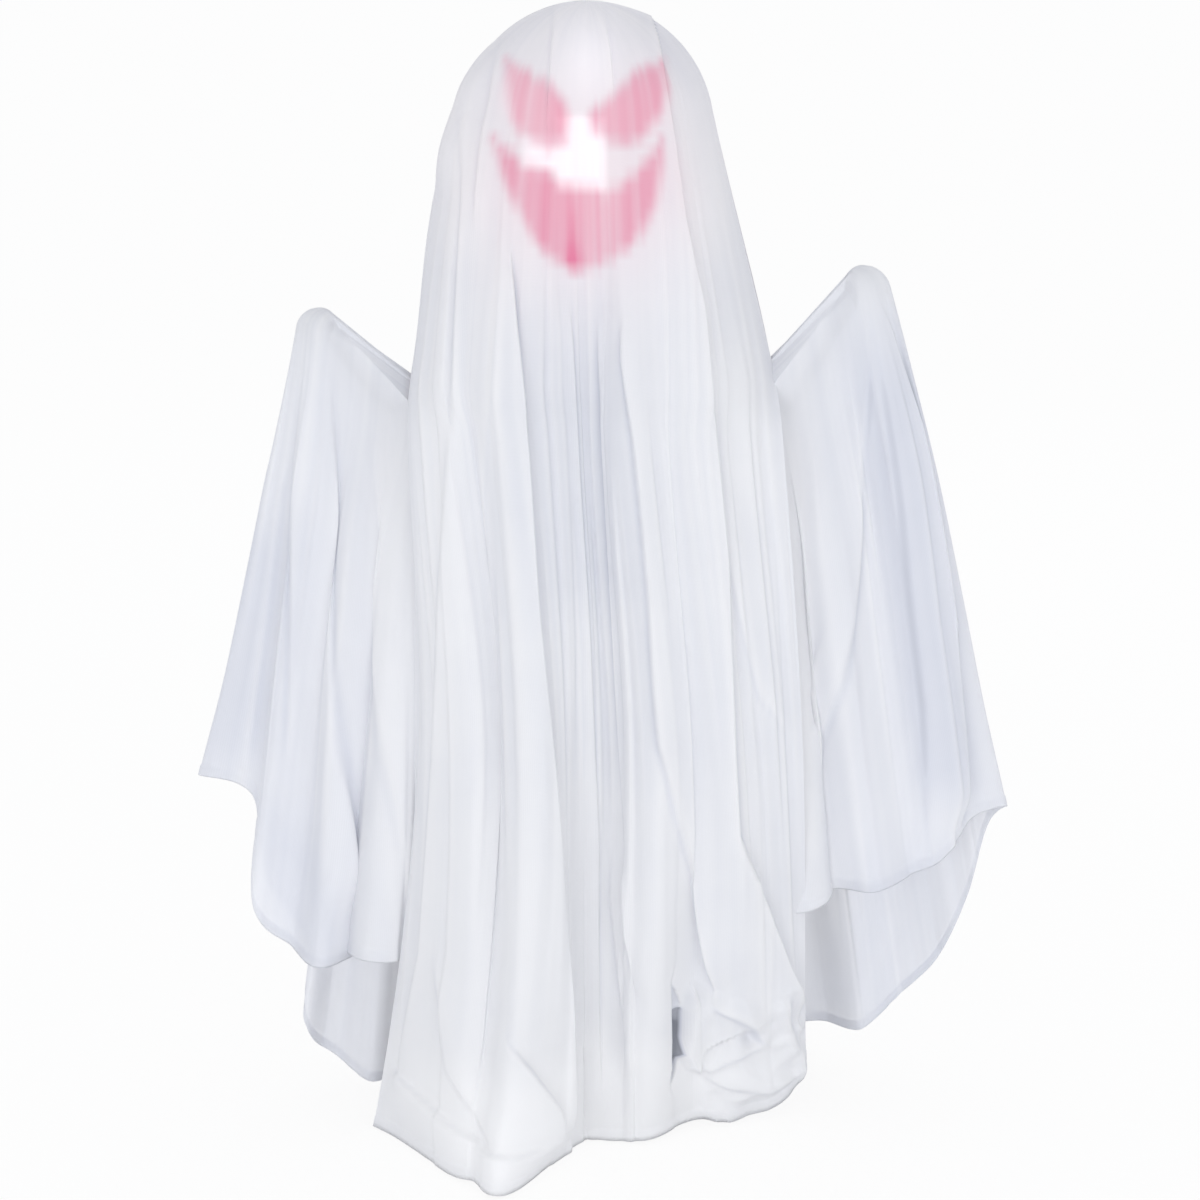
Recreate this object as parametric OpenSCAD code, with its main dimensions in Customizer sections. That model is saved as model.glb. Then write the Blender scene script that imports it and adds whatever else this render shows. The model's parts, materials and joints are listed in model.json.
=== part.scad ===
// Animated rising ghost: weighted base, rack lift, lit head, wire arms and draped cloth
// Frame: millimetres, Z up, origin on the floor under the mast, the face looks along -Y
// Drawn raised, as in the photograph

/* [Base] */
// Outer radius of the base housing
base_r = 130; // [115:1:160]
// Height of the deck above the floor
base_h = 62; // [56:1:80]
// Wall and deck thickness of the housing
base_wall = 3.5; // [2.5:0.5:5]
// Rounding radius of the deck edge
deck_round = 18; // [10:1:24]
// Foot pad thickness
pad_t = 3; // [2:0.5:6]
// Base plate thickness
plate_t = 4; // [3:0.5:6]
// Thickness of the steel ballast ring
ballast_t = 10; // [4:1:16]
// Number of housing screws
base_screw_n = 6; // [4:1:8]

/* [Batteries] */
// Diameter of an AA cell
cell_d = 14.5; // [14:0.1:15]
// Length of an AA cell
cell_l = 50.5; // [50:0.1:51]
// Number of cells side by side
cell_n = 4; // [2:1:4]
// Battery door thickness
door_t = 2; // [1.5:0.1:2.5]

/* [Lift] */
// Height that the mast travels
rise_travel = 300; // [200:5:320]
// Width of the square sliding mast
mast_w = 24; // [20:1:28]
// Wall of the sliding mast
mast_wall = 1.8; // [1.2:0.1:3]
// Wall of the fixed column
column_wall = 2; // [1.5:0.1:3]
// Sliding clearance of the nylon guides
slide_gap = 0.2; // [0.1:0.05:0.4]
// Height of the slide block at the mast foot
block_h = 36; // [24:1:50]
// Height of the upper guide inside the column
guide_h = 30; // [20:1:40]
// Rack module
rack_m = 2; // [1.5:0.25:2.5]
// Width of the rack across its teeth
rack_w = 10; // [8:0.5:12]
// Pinion tooth count
pinion_n = 16; // [14:1:18]
// Module of the reduction gears
gear_m = 1; // [0.8:0.1:1.2]
// Drive gear tooth count
gear_n = 56; // [50:1:60]
// Motor pinion tooth count
motor_n = 12; // [12:1:14]
// Drive shaft diameter
shaft_d = 6; // [5:0.5:8]
// Radial running clearance of the shafts
run_gap = 0.05; // [0.02:0.01:0.1]
// Backlash of the meshing teeth
backlash = 0.2; // [0.1:0.05:0.3]

/* [Arms] */
// Height of the shoulder block
shoulder_h = 46; // [38:1:60]
// Height of the arm line above the foot of the shoulder block
arm_up = 17; // [12:1:26]
// Diameter of the arm tubes
arm_d = 12; // [8:1:14]
// Reach of the left elbow from the mast
left_elbow_x = 212; // [190:1:220]
// Reach of the right elbow from the mast
right_elbow_x = 216; // [190:1:230]
// Reach of the left hand from the mast
left_hand_x = 283; // [260:1:300]
// Height of the left hand above the arm line
left_hand_rise = 102; // [80:1:125]
// Reach of the right hand from the mast
right_hand_x = 291; // [260:1:310]
// Height of the right hand above the arm line
right_hand_rise = 147; // [110:1:165]
// Radius of a hand ball
hand_r = 16; // [12:1:18]

/* [Head] */
// Distance from the shoulder block to the head
neck_l = 90; // [80:1:120]
// Largest radius of the head
head_r = 130; // [115:1:140]
// Height of the head above its widest ring
head_up = 132; // [120:1:145]
// Height of the head below its widest ring
head_down = 172; // [150:1:185]
// Wall of the head shell
shell_t = 2.5; // [2:0.5:4]
// Clearance round a face lens
lens_gap = 0.25; // [0.15:0.05:0.4]
// Radius of an eye
eye_r = 38; // [30:1:40]
// Half width of the grin
mouth_w = 86; // [70:1:88]
// Depth of the grin from corner to lip
mouth_d = 131; // [110:1:132]

/* [Cloth] */
// Thickness of the cloth solids
cloth_t = 1.2; // [0.8:0.1:2]
// Gap between the cloth and what it lies on
cloth_gap = 0.3; // [0.2:0.05:0.5]

/* [Hidden] */
$fn = 96;
eps = 0.01;

// Base heights
plate_z = pad_t + plate_t;
deck_under = base_h - base_wall;
deck_r = base_r - deck_round;
boss_ring_r = base_r - 16;
pad_r = boss_ring_r - 10;
screw_r = 1.5;
boss_r = 5;

// Column, mast and rack sections
half_mast = mast_w / 2;
rack_base = 2.5;
rack_add = 0.95 * rack_m;
rack_pitch_y = half_mast + rack_base + 1.25 * rack_m;
rack_tip_y = rack_pitch_y + rack_add;
column_in_x = half_mast + 4;
column_front = half_mast + 4;
column_back = rack_tip_y + 4;
column_x = column_in_x + column_wall;
column_y0 = -(column_front + column_wall);
column_y1 = column_back + column_wall;

// Gear radii and places
pinion_r = rack_m * pinion_n / 2;
pinion_tip_r = pinion_r + 0.95 * rack_m;
pinion_w = rack_w - 1;
pinion_y = rack_pitch_y + pinion_r;
gear_r = gear_m * gear_n / 2;
motor_r = gear_m * motor_n / 2;
motor_y = pinion_y + gear_r + motor_r;
pressure = 25;

// Heights of the lift
mast_low = plate_z + 7;
mast_foot = mast_low + rise_travel;
pinion_z = mast_foot + block_h + 3 + pinion_tip_r;
guide_z = pinion_z + pinion_tip_r + 6;
column_top = guide_z + guide_h;
guide_flange = 4;
shoulder_z = column_top + guide_flange + rise_travel + 30;
arm_z = shoulder_z + arm_up;
neck_z = shoulder_z + shoulder_h + neck_l;
head_z = neck_z + head_down;
rack_top = pinion_z + rise_travel + 22;
rack_foot = mast_foot + block_h + 1;
spigot_h = 30;
mast_top = neck_z + spigot_h;

// Base layout
speaker_y = -(deck_r - 36);
speaker_r = 30;
tray_wall = 1.5;
tray_w = cell_n * (cell_d + 0.5) + 1;
tray_l = cell_l + 7;
tray_d = cell_d + 2;
tray_y = deck_r - 12 - tray_l / 2;
door_w = tray_w + 2 * tray_wall + 6;
door_l = tray_l + 2 * tray_wall + 4;
hinge_y = tray_y + door_l / 2 + 4;
hinge_r = 2.6;
hinge_z = base_h + hinge_r + 0.4;
pin_r = 1.25;
collar_clear = 5;
collar_screw_x = column_x + 14;
collar_screw_y = column_y1 + 9;
collar_back_y = min(collar_screw_y, tray_y - door_l / 2 - collar_clear);
ballast_r = 0.4 * base_r;
ballast_bore = 33;
control_x = 0.6 * base_r;
switch_y = 24;
button_y = -22;
board_x = -0.6 * base_r;
board_z = plate_z + 17;
board_w = 44;
board_l = 60;

// Drive frame layout
cheek_t = 3;
cheek_left = -14;
cheek_right = column_x - 2;
frame_y0 = column_y1;
frame_flange = 3;
frame_y1 = motor_y + 18;
frame_half_h = gear_r + 8;
bush_r = shaft_d / 2 + 2;
gear_x = cheek_right + cheek_t + 2.5;
gear_w = 6;
cover_x = gear_x + gear_w + 2.5;
motor_body_r = 12.5;
motor_screw_r = motor_r + 4.6;
motor_l = cheek_right - cheek_left - cheek_t - 1;

// Basic shapes
module tube_box(x0, x1, y0, y1, z0, z1) {
  translate([x0, y0, z0]) cube([x1 - x0, y1 - y0, z1 - z0]);
}

module rod_x(r, x0, x1, y, z) {
  translate([x0, y, z]) rotate([0, 90, 0]) cylinder(r = r, h = x1 - x0);
}

module screw_z(r, z0, l, head) {
  translate([0, 0, z0]) cylinder(r = r, h = l);
  translate([0, 0, z0 - head]) cylinder(r = 2 * r, h = head);
}

module round_plate(w, l, t, r) {
  linear_extrude(height = t) {
    square([w - 2 * r, l], center = true);
    square([w, l - 2 * r], center = true);
    for (sx = [-1, 1], sy = [-1, 1])
      translate([sx * (w / 2 - r), sy * (l / 2 - r)]) circle(r, $fn = 48);
  }
}

// Involute gear outline
function inv(a) = tan(a) * 180 / PI - a;
function flank(r, rb) = r <= rb ? 0 : inv(acos(rb / r));
function tooth_half(r, rp, n) =
  90 / n - backlash / 4 / rp * 180 / PI + inv(pressure) - flank(r, rp * cos(pressure));
function tooth_side(m, n, steps = 5) = [for (i = [0:steps])
  let (r0 = m * (n / 2 - 1.25), r1 = m * (n / 2 + 0.95)) r0 + (r1 - r0) * i / steps];
function gear_outline(m, n) = [for (k = [0:n - 1], s = [-1, 1])
  let (rs = tooth_side(m, n))
  for (i = [0:len(rs) - 1])
    let (r = rs[s < 0 ? i : len(rs) - 1 - i], a = 360 / n * k + s * tooth_half(r, m * n / 2, n))
    [r * cos(a), r * sin(a)]];

module gear_x(m, n, w, bore, turn) {
  rotate([0, 90, 0]) rotate([0, 0, turn]) linear_extrude(height = w) difference() {
    polygon(gear_outline(m, n));
    circle(bore, $fn = 48);
  }
}

// Base
module foot_pad() {
  color([0.10, 0.10, 0.11]) cylinder(r = pad_r, h = pad_t);
}

module ring_of_screws() {
  for (i = [0:base_screw_n - 1])
    rotate([0, 0, 360 / base_screw_n * (i + 0.5)]) translate([boss_ring_r, 0, 0]) children();
}

module board_corners() {
  for (sx = [-1, 1], sy = [-1, 1])
    translate([board_x + sx * (board_w / 2 - 4), sy * (board_l / 2 - 4), 0]) children();
}

module collar_corners() {
  for (sx = [-1, 1], y = [-collar_screw_y, collar_back_y]) translate([sx * collar_screw_x, y, 0]) children();
}

module base_plate() {
  color([0.16, 0.16, 0.17]) {
    difference() {
      translate([0, 0, pad_t]) cylinder(r = base_r - base_wall - 0.3, h = plate_t);
      ring_of_screws() {
        cylinder(r = screw_r + 0.3, h = plate_z + 1);
        cylinder(r = 2 * screw_r + 0.3, h = pad_t + 2.2);
      }
    }
    difference() {
      board_corners() translate([0, 0, plate_z - eps]) cylinder(r = 3.5, h = board_z - plate_z + eps);
      board_corners() translate([0, 0, plate_z + 4]) cylinder(r = screw_r - 0.1, h = board_z, $fn = 32);
    }
  }
}

module dome_profile(r, h, rd) {
  square([r - rd, h]);
  square([r, h - rd]);
  translate([r - rd, h - rd]) circle(rd);
}

module base_housing() {
  color([0.20, 0.20, 0.21]) difference() {
    union() {
      translate([0, 0, pad_t]) rotate_extrude() intersection() {
        square([base_r, base_h]);
        difference() {
          dome_profile(base_r, base_h - pad_t, deck_round);
          dome_profile(base_r - base_wall, base_h - pad_t - base_wall, deck_round - base_wall);
        }
      }
      ring_of_screws() translate([0, 0, plate_z]) cylinder(r = boss_r, h = deck_under - plate_z - 1);
      for (s = [-1, 1]) translate([s * (door_w / 2 - 9), hinge_y, 0]) {
        rod_x(hinge_r, -3, 3, 0, hinge_z);
        tube_box(-3, 3, -hinge_r, hinge_r, base_h - 1, hinge_z);
      }
    }
    ring_of_screws() translate([0, 0, pad_t]) cylinder(r = screw_r - 0.1, h = 26, $fn = 32);
    tube_box(-column_x - 0.2, column_x + 0.2, column_y0 - 0.2, column_y1 + 0.2, deck_under - 1, base_h + 1);
    for (i = [-3:3]) translate([0, speaker_y + i * 7, 0])
      tube_box(-sqrt(676 - 49 * i * i), sqrt(676 - 49 * i * i), -1.5, 1.5, deck_under - 1, base_h + 1);
    translate([0, tray_y, base_h - door_t]) round_plate(door_w + 0.6, door_l + 0.6, door_t + 1, 3.3);
    translate([0, tray_y, deck_under - 1])
      round_plate(tray_w + 2 * tray_wall + 0.4, tray_l + 2 * tray_wall + 0.4, base_wall + 2, 1.4);
    for (s = [-1, 1])
      rod_x(pin_r + run_gap, s * (door_w / 2 - 9) - 4, s * (door_w / 2 - 9) + 4, hinge_y, hinge_z);
    translate([control_x, switch_y, deck_under - 1]) round_plate(5.2, 15, base_wall + 2, 1);
    translate([control_x, button_y, deck_under - 1]) cylinder(r = 6.2, h = base_wall + 2);
    collar_corners() translate([0, 0, deck_under - 1]) cylinder(r = screw_r - 0.1, h = base_wall + 2, $fn = 32);
  }
}

module ballast_ring() {
  color([0.36, 0.36, 0.38]) translate([0, 0, plate_z]) difference() {
    cylinder(r = ballast_r, h = ballast_t);
    translate([0, 0, -1]) cylinder(r = ballast_bore, h = ballast_t + 2);
  }
}

module base_screws() {
  color([0.62, 0.62, 0.64]) ring_of_screws() screw_z(screw_r - 0.15, pad_t + 2.2, 18, 1.8);
}

module speaker() {
  color([0.13, 0.13, 0.14]) translate([0, speaker_y, deck_under]) rotate([180, 0, 0]) difference() {
    union() {
      cylinder(r = speaker_r, h = 2.5);
      cylinder(r1 = speaker_r - 2, r2 = 15, h = 14);
      cylinder(r = 14, h = 21);
    }
    translate([0, 0, -1]) cylinder(r1 = speaker_r - 2, r2 = 9, h = 11);
  }
}

module battery_box() {
  color([0.12, 0.12, 0.13]) translate([0, tray_y, base_h - door_t - 0.3 - tray_d - tray_wall]) difference() {
    round_plate(tray_w + 2 * tray_wall, tray_l + 2 * tray_wall, tray_d + tray_wall, 1.2);
    translate([-tray_w / 2, -tray_l / 2, tray_wall]) cube([tray_w, tray_l, tray_d + 1]);
  }
}

module batteries() {
  color([0.55, 0.42, 0.20])
    for (i = [0:cell_n - 1])
      translate([(i - (cell_n - 1) / 2) * (cell_d + 0.5), tray_y - cell_l / 2,
          base_h - door_t - 0.2 - tray_d + cell_d / 2]) rotate([-90, 0, 0]) {
        cylinder(r = cell_d / 2, h = cell_l - 1.5, $fn = 48);
        cylinder(r = 2.7, h = cell_l, $fn = 32);
      }
}

module battery_door() {
  knuckle = door_w / 2 - 9 - 3.4;
  color([0.17, 0.17, 0.18]) difference() {
    union() {
      translate([0, tray_y, base_h - door_t]) round_plate(door_w, door_l, door_t, 3);
      rod_x(hinge_r, -knuckle, knuckle, hinge_y, hinge_z);
      tube_box(-knuckle, knuckle, tray_y + door_l / 2 - 6, hinge_y, hinge_z - 1.6, hinge_z + 0.6);
      tube_box(-knuckle, knuckle, tray_y + door_l / 2 - 6, tray_y + door_l / 2 - 0.2, base_h - 1, hinge_z);
    }
    rod_x(pin_r + run_gap, -door_w, door_w, hinge_y, hinge_z);
    for (i = [0:4]) tube_box(-9, 9, tray_y - door_l / 2 + 5 + 3 * i, tray_y - door_l / 2 + 6.2 + 3 * i,
      base_h - 0.8, base_h + 1);
  }
}

module battery_door_pin() {
  color([0.72, 0.72, 0.74]) rod_x(pin_r, -(door_w / 2 - 6.4), door_w / 2 - 6.4, hinge_y, hinge_z);
}

module control_board() {
  color([0.10, 0.32, 0.20]) difference() {
    translate([board_x, 0, board_z]) union() {
      translate([-board_w / 2, -board_l / 2, 0]) cube([board_w, board_l, 1.6]);
      translate([-7, -6, 1.5]) cube([14, 12, 2.2]);
      translate([8, 8, 1.5]) cylinder(r = 5, h = 13, $fn = 48);
      translate([-12, 14, 1.5]) cube([10, 8, 9]);
      translate([-12, -22, 1.5]) cube([20, 7, 8]);
      translate([10, -12, 1.5]) cylinder(r = 3.2, h = 9, $fn = 48);
    }
    board_corners() translate([0, 0, board_z - 1]) cylinder(r = screw_r + 0.2, h = 5, $fn = 32);
  }
}

module board_screws() {
  color([0.62, 0.62, 0.64]) board_corners() translate([0, 0, board_z + 1.6]) rotate([180, 0, 0])
    screw_z(screw_r - 0.2, 0, 10, 1.6);
}

module switch_body() {
  color([0.08, 0.08, 0.08]) translate([control_x, switch_y, deck_under - 9]) difference() {
    translate([-6, -13, 0]) cube([12, 26, 9]);
    translate([-2.4, -7, 2]) cube([4.8, 14, 9]);
  }
}

module switch_knob() {
  color([0.75, 0.10, 0.09]) translate([control_x, switch_y - 3, 0]) {
    tube_box(-2, 2, -3, 3, deck_under - 6, base_h + 1);
    translate([0, 0, base_h + 0.4]) round_plate(8, 9, 3.6, 1);
    tube_box(-2.1, 2.1, -3.4, 3.4, deck_under - 6.5, deck_under - 4.5);
  }
}

module test_button() {
  color([0.75, 0.10, 0.09]) translate([control_x, button_y, 0]) {
    translate([0, 0, deck_under - 2]) cylinder(r = 6, h = base_wall + 5.5);
    translate([0, 0, deck_under - 3.6]) cylinder(r = 8, h = 3.3);
    translate([0, 0, deck_under - 6]) cylinder(r = 1.6, h = 3, $fn = 32);
  }
}

module button_switch() {
  color([0.12, 0.12, 0.13]) translate([control_x, button_y, 0]) difference() {
    union() {
      tube_box(-10, 10, -10, 10, deck_under - 16, deck_under - 14);
      for (s = [-1, 1]) tube_box(s * 10 - 1.5, s * 10 + 1.5, -10, 10, deck_under - 16, deck_under);
      tube_box(-4, 4, -4, 4, deck_under - 14.5, deck_under - 9.5);
    }
  }
}

// Column and guides
module mast_column() {
  color([0.22, 0.22, 0.23]) difference() {
    tube_box(-column_x, column_x, column_y0, column_y1, plate_z, column_top);
    tube_box(-column_in_x, column_in_x, -column_front, column_back, plate_z - 1, column_top + 1);
    tube_box(-rack_w / 2 - 1.5, rack_w / 2 + 1.5, column_back - 1, column_y1 + 1,
      pinion_z - pinion_tip_r - 1, pinion_z + pinion_tip_r + 1);
  }
}

module column_collar() {
  cy = (column_y0 + column_y1) / 2;
  color([0.20, 0.20, 0.21]) difference() {
    union() {
      translate([0, 0, base_h]) round_plate(2 * collar_screw_x + 14, 2 * collar_screw_y + 14, 4, 8);
      translate([0, cy, base_h]) round_plate(2 * column_x + 12, column_y1 - column_y0 + 12, 28, 5);
    }
    tube_box(-column_x - 0.2, column_x + 0.2, column_y0 - 0.2, column_y1 + 0.2, base_h - 1, base_h + 40);
    collar_corners() translate([0, 0, base_h - 1]) cylinder(r = screw_r + 0.3, h = 8, $fn = 32);
    tube_box(-door_w, door_w, tray_y - door_l / 2 - 0.6, 90, base_h - 1, base_h + 5);
  }
}

module collar_screws() {
  color([0.62, 0.62, 0.64]) collar_corners()
    translate([0, 0, base_h + 4]) rotate([180, 0, 0]) screw_z(screw_r - 0.2, 0, 9, 1.8);
}

module mast_section(gap) {
  translate([-half_mast - gap, -half_mast - gap]) square([mast_w + 2 * gap, mast_w + 2 * gap]);
  translate([-rack_w / 2 - gap, 0]) square([rack_w + 2 * gap, rack_tip_y + gap]);
}

module upper_guide() {
  cy = (column_back - column_front) / 2;
  color([0.86, 0.86, 0.82]) difference() {
    union() {
      tube_box(-column_in_x + 0.1, column_in_x - 0.1, -column_front + 0.1, column_back - 0.1, guide_z, column_top);
      translate([0, cy, column_top]) round_plate(2 * column_x + 2, column_y1 - column_y0 + 2, guide_flange, 3);
    }
    translate([0, 0, guide_z - 1]) linear_extrude(height = guide_h + 10) mast_section(slide_gap + 0.1);
  }
}

// Drive
module drive_frame() {
  z0 = pinion_z - frame_half_h;
  z1 = pinion_z + frame_half_h;
  color([0.70, 0.71, 0.73]) difference() {
    union() {
      tube_box(cheek_left, cheek_right + cheek_t, frame_y0, frame_y0 + frame_flange, z0, z1);
      tube_box(cheek_left, cheek_left + cheek_t, frame_y0, frame_y1, pinion_z - 20, pinion_z + 20);
      tube_box(cheek_right, cheek_right + cheek_t, frame_y0, frame_y1, pinion_z - 20, pinion_z + 20);
      tube_box(cheek_left, cheek_right + cheek_t, frame_y1 - cheek_t, frame_y1, pinion_z - 20, pinion_z + 20);
    }
    tube_box(-rack_w / 2 - 2, rack_w / 2 + 2, frame_y0 - 1, frame_y0 + frame_flange + 1,
      pinion_z - pinion_tip_r - 2, pinion_z + pinion_tip_r + 2);
    rod_x(bush_r + 0.05, cheek_left - 1, cheek_right + 10, pinion_y, pinion_z);
    rod_x(motor_r + 2, cheek_right - 1, cheek_right + 10, motor_y, pinion_z);
    for (s = [-1, 1])
      rod_x(screw_r, cheek_right - 1, cheek_right + 10, motor_y, pinion_z + s * motor_screw_r);
    for (sx = [-1, 1], sz = [-1, 1]) translate([sx * 9, frame_y0, pinion_z + sz * (frame_half_h - 6)])
      rotate([-90, 0, 0]) translate([0, 0, -1]) cylinder(r = screw_r + 0.1, h = 10, $fn = 32);
  }
}

module shaft_bushes() {
  color([0.72, 0.52, 0.26]) for (x = [cheek_left, cheek_right]) difference() {
    union() {
      rod_x(bush_r, x, x + cheek_t + 0.6, pinion_y, pinion_z);
      if (x < 0) rod_x(bush_r + 1.5, x - 1, x - 0.05, pinion_y, pinion_z);
      if (x < 0) rod_x(bush_r, x - 0.5, x + 1, pinion_y, pinion_z);
    }
    rod_x(shaft_d / 2 + run_gap, x - 2, x + 12, pinion_y, pinion_z);
  }
}

module drive_shaft() {
  color([0.75, 0.76, 0.78]) {
    rod_x(shaft_d / 2, cheek_left - 4, cover_x - 1.5, pinion_y, pinion_z);
    rod_x(shaft_d / 2 + 1.6, cheek_left - 3.4, cheek_left - 1.4, pinion_y, pinion_z);
  }
}

module rack_pinion() {
  color([0.85, 0.80, 0.66]) translate([-pinion_w / 2, pinion_y, pinion_z])
    gear_x(rack_m, pinion_n, pinion_w, shaft_d / 2 + run_gap, -90);
}

module drive_gear() {
  color([0.85, 0.80, 0.66]) translate([gear_x, pinion_y, pinion_z])
    gear_x(gear_m, gear_n, gear_w, shaft_d / 2 + run_gap, 90);
}

module drive_motor() {
  color([0.66, 0.67, 0.70]) {
    rod_x(motor_body_r, cheek_right - motor_l, cheek_right - 0.1, motor_y, pinion_z);
    rod_x(motor_r + 1.5, cheek_right - 1, cheek_right + 1.5, motor_y, pinion_z);
  }
}

module motor_pinion() {
  color([0.80, 0.66, 0.34]) translate([gear_x - 0.4, motor_y, pinion_z])
    gear_x(gear_m, motor_n, gear_w + 0.8, 1.2, -90 + 180 / motor_n);
}

module cover_outline(grow) {
  big = gear_r + gear_m + 2 + grow;
  small = motor_screw_r + 2 * screw_r + 0.5 + grow;
  gap = motor_y - pinion_y;
  lean = asin((big - small) / gap);
  circle(big);
  translate([0, gap]) circle(small);
  polygon([[big * cos(lean), big * sin(lean)], [small * cos(lean), gap + small * sin(lean)],
    [-small * cos(lean), gap + small * sin(lean)], [-big * cos(lean), big * sin(lean)]]);
}

module gear_cover() {
  color([0.23, 0.23, 0.25]) translate([cheek_right + cheek_t + 0.1, pinion_y, pinion_z])
    rotate([90, 0, 90]) rotate([0, 0, -90]) difference() {
      linear_extrude(height = cover_x - cheek_right - cheek_t + 1.9) cover_outline(2);
      translate([0, 0, -1]) linear_extrude(height = cover_x - cheek_right - cheek_t + 1) cover_outline(0);
    }
}

module drive_screws() {
  color([0.62, 0.62, 0.64]) {
    for (sx = [-1, 1], sz = [-1, 1])
      translate([sx * 9, frame_y0 + frame_flange, pinion_z + sz * (frame_half_h - 6)]) rotate([90, 0, 0])
        screw_z(screw_r - 0.1, 0, frame_flange - 0.2, 1.8);
    for (s = [-1, 1]) translate([cheek_right + cheek_t, motor_y, pinion_z + s * motor_screw_r])
      rotate([0, -90, 0]) screw_z(screw_r - 0.2, 0, cheek_t - 0.1, 1.2);
  }
}

// Mast
module mast_tube() {
  color([0.74, 0.75, 0.77]) difference() {
    tube_box(-half_mast, half_mast, -half_mast, half_mast, mast_foot, mast_top);
    tube_box(-half_mast + mast_wall, half_mast - mast_wall, -half_mast + mast_wall, half_mast - mast_wall,
      mast_foot - 1, mast_top + 1);
  }
}

module rack() {
  pitch = PI * rack_m;
  half = pitch / 4 - backlash / 4;
  lean = tan(pressure);
  count = ceil(rise_travel / pitch) + 8;
  root = rack_pitch_y - 1.25 * rack_m;
  color([0.85, 0.80, 0.66]) translate([-rack_w / 2, 0, 0]) rotate([90, 0, 90])
    linear_extrude(height = rack_w) union() {
      translate([half_mast, rack_foot]) square([rack_base, rack_top - rack_foot]);
      intersection() {
        translate([half_mast, rack_foot]) square([rack_tip_y, rack_top - rack_foot]);
        for (k = [-4:count]) translate([0, pinion_z + (k + 0.5) * pitch])
          polygon([[root - 0.5, -half - 1.25 * rack_m * lean], [root, -half - 1.25 * rack_m * lean],
            [rack_tip_y, -half + rack_add * lean], [rack_tip_y, half - rack_add * lean],
            [root, half + 1.25 * rack_m * lean], [root - 0.5, half + 1.25 * rack_m * lean]]);
      }
    }
}

module slide_block() {
  color([0.86, 0.86, 0.82]) difference() {
    tube_box(-column_in_x + slide_gap, column_in_x - slide_gap, -column_front + slide_gap,
      column_back - slide_gap, mast_foot - 2, mast_foot + block_h);
    tube_box(-half_mast - 0.05, half_mast + 0.05, -half_mast - 0.05, half_mast + 0.05,
      mast_foot, mast_foot + block_h + 1);
    tube_box(-half_mast + 3, half_mast - 3, -half_mast + 3, half_mast - 3, mast_foot - 3, mast_foot + 1);
  }
}

// Arms
module shoulder_block() {
  color([0.21, 0.21, 0.22]) difference() {
    union() {
      translate([0, 0, shoulder_z]) round_plate(mast_w + 20, mast_w + 20, shoulder_h, 5);
      rod_x(arm_d / 2 + 4, -half_mast - 34, half_mast + 34, 0, arm_z);
    }
    tube_box(-half_mast - 0.1, half_mast + 0.1, -half_mast - 0.1, half_mast + 0.1, shoulder_z - 1, neck_z);
    for (s = [-1, 1]) rod_x(arm_d / 2 + 0.1, s > 0 ? half_mast + 2 : -half_mast - 60,
      s > 0 ? half_mast + 60 : -half_mast - 2, 0, arm_z);
    for (s = [-1, 1]) translate([s * (half_mast + 26), 0, arm_z])
      cylinder(r = screw_r + 0.1, h = arm_d, $fn = 32);
  }
}

module arm_screws() {
  color([0.62, 0.62, 0.64]) for (s = [-1, 1])
    translate([s * (half_mast + 26), 0, arm_z + arm_d / 2 + 4.4]) rotate([180, 0, 0])
      screw_z(screw_r - 0.1, 0, 4, 2);
}

function hand_point(side) = side < 0 ? [-left_hand_x, 0, arm_z + left_hand_rise - hand_r]
  : [right_hand_x, 0, arm_z + right_hand_rise - hand_r];

module bent_arm(side) {
  elbow = side < 0 ? left_elbow_x : right_elbow_x;
  hand = hand_point(side);
  run = [abs(hand[0]) - elbow, hand[2] - arm_z];
  reach = norm(run) - hand_r + 4;
  tilt = atan2(run[1], run[0]);
  start = half_mast + 4;
  color([0.16, 0.16, 0.17]) mirror([side < 0 ? 1 : 0, 0, 0]) {
    rod_x(arm_d / 2, start, elbow, 0, arm_z);
    translate([elbow, 0, arm_z]) sphere(arm_d / 2 + 0.6);
    translate([elbow, 0, arm_z]) rotate([0, 90 - tilt, 0]) cylinder(r = arm_d / 2, h = reach);
  }
}

module left_arm() {
  bent_arm(-1);
}

module right_arm() {
  bent_arm(1);
}

module hand_ball(side) {
  elbow = side < 0 ? left_elbow_x : right_elbow_x;
  hand = hand_point(side);
  run = [abs(hand[0]) - elbow, hand[2] - arm_z];
  tilt = atan2(run[1], run[0]);
  color([0.78, 0.77, 0.74]) difference() {
    translate(hand) sphere(hand_r);
    mirror([side < 0 ? 1 : 0, 0, 0]) translate([elbow, 0, arm_z]) rotate([0, 90 - tilt, 0])
      cylinder(r = arm_d / 2 + 0.1, h = norm(run) - hand_r + 4.1);
  }
}

module left_hand() {
  hand_ball(-1);
}

module right_hand() {
  hand_ball(1);
}

// Head
module neck_socket() {
  color([0.21, 0.21, 0.22]) difference() {
    union() {
      translate([0, 0, neck_z - 26]) cylinder(r = 22, h = 26 + spigot_h - 2);
      translate([0, 0, neck_z - 4]) cylinder(r = 50, h = 4);
      translate([0, 0, mast_top - eps - 2]) cylinder(r = 22, h = 5);
    }
    tube_box(-half_mast - 0.1, half_mast + 0.1, -half_mast - 0.1, half_mast + 0.1, neck_z - 30, mast_top + 0.1);
    translate([0, 0, neck_z - 5]) head_holes(screw_r + 0.1, 10);
    translate([0, 0, mast_top]) cylinder(r = 5, h = 10);
  }
}

module head_holes(r, h) {
  for (a = [45, 135, 225, 315]) rotate([0, 0, a]) translate([38, 0, 0]) cylinder(r = r, h = h, $fn = 32);
}

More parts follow.
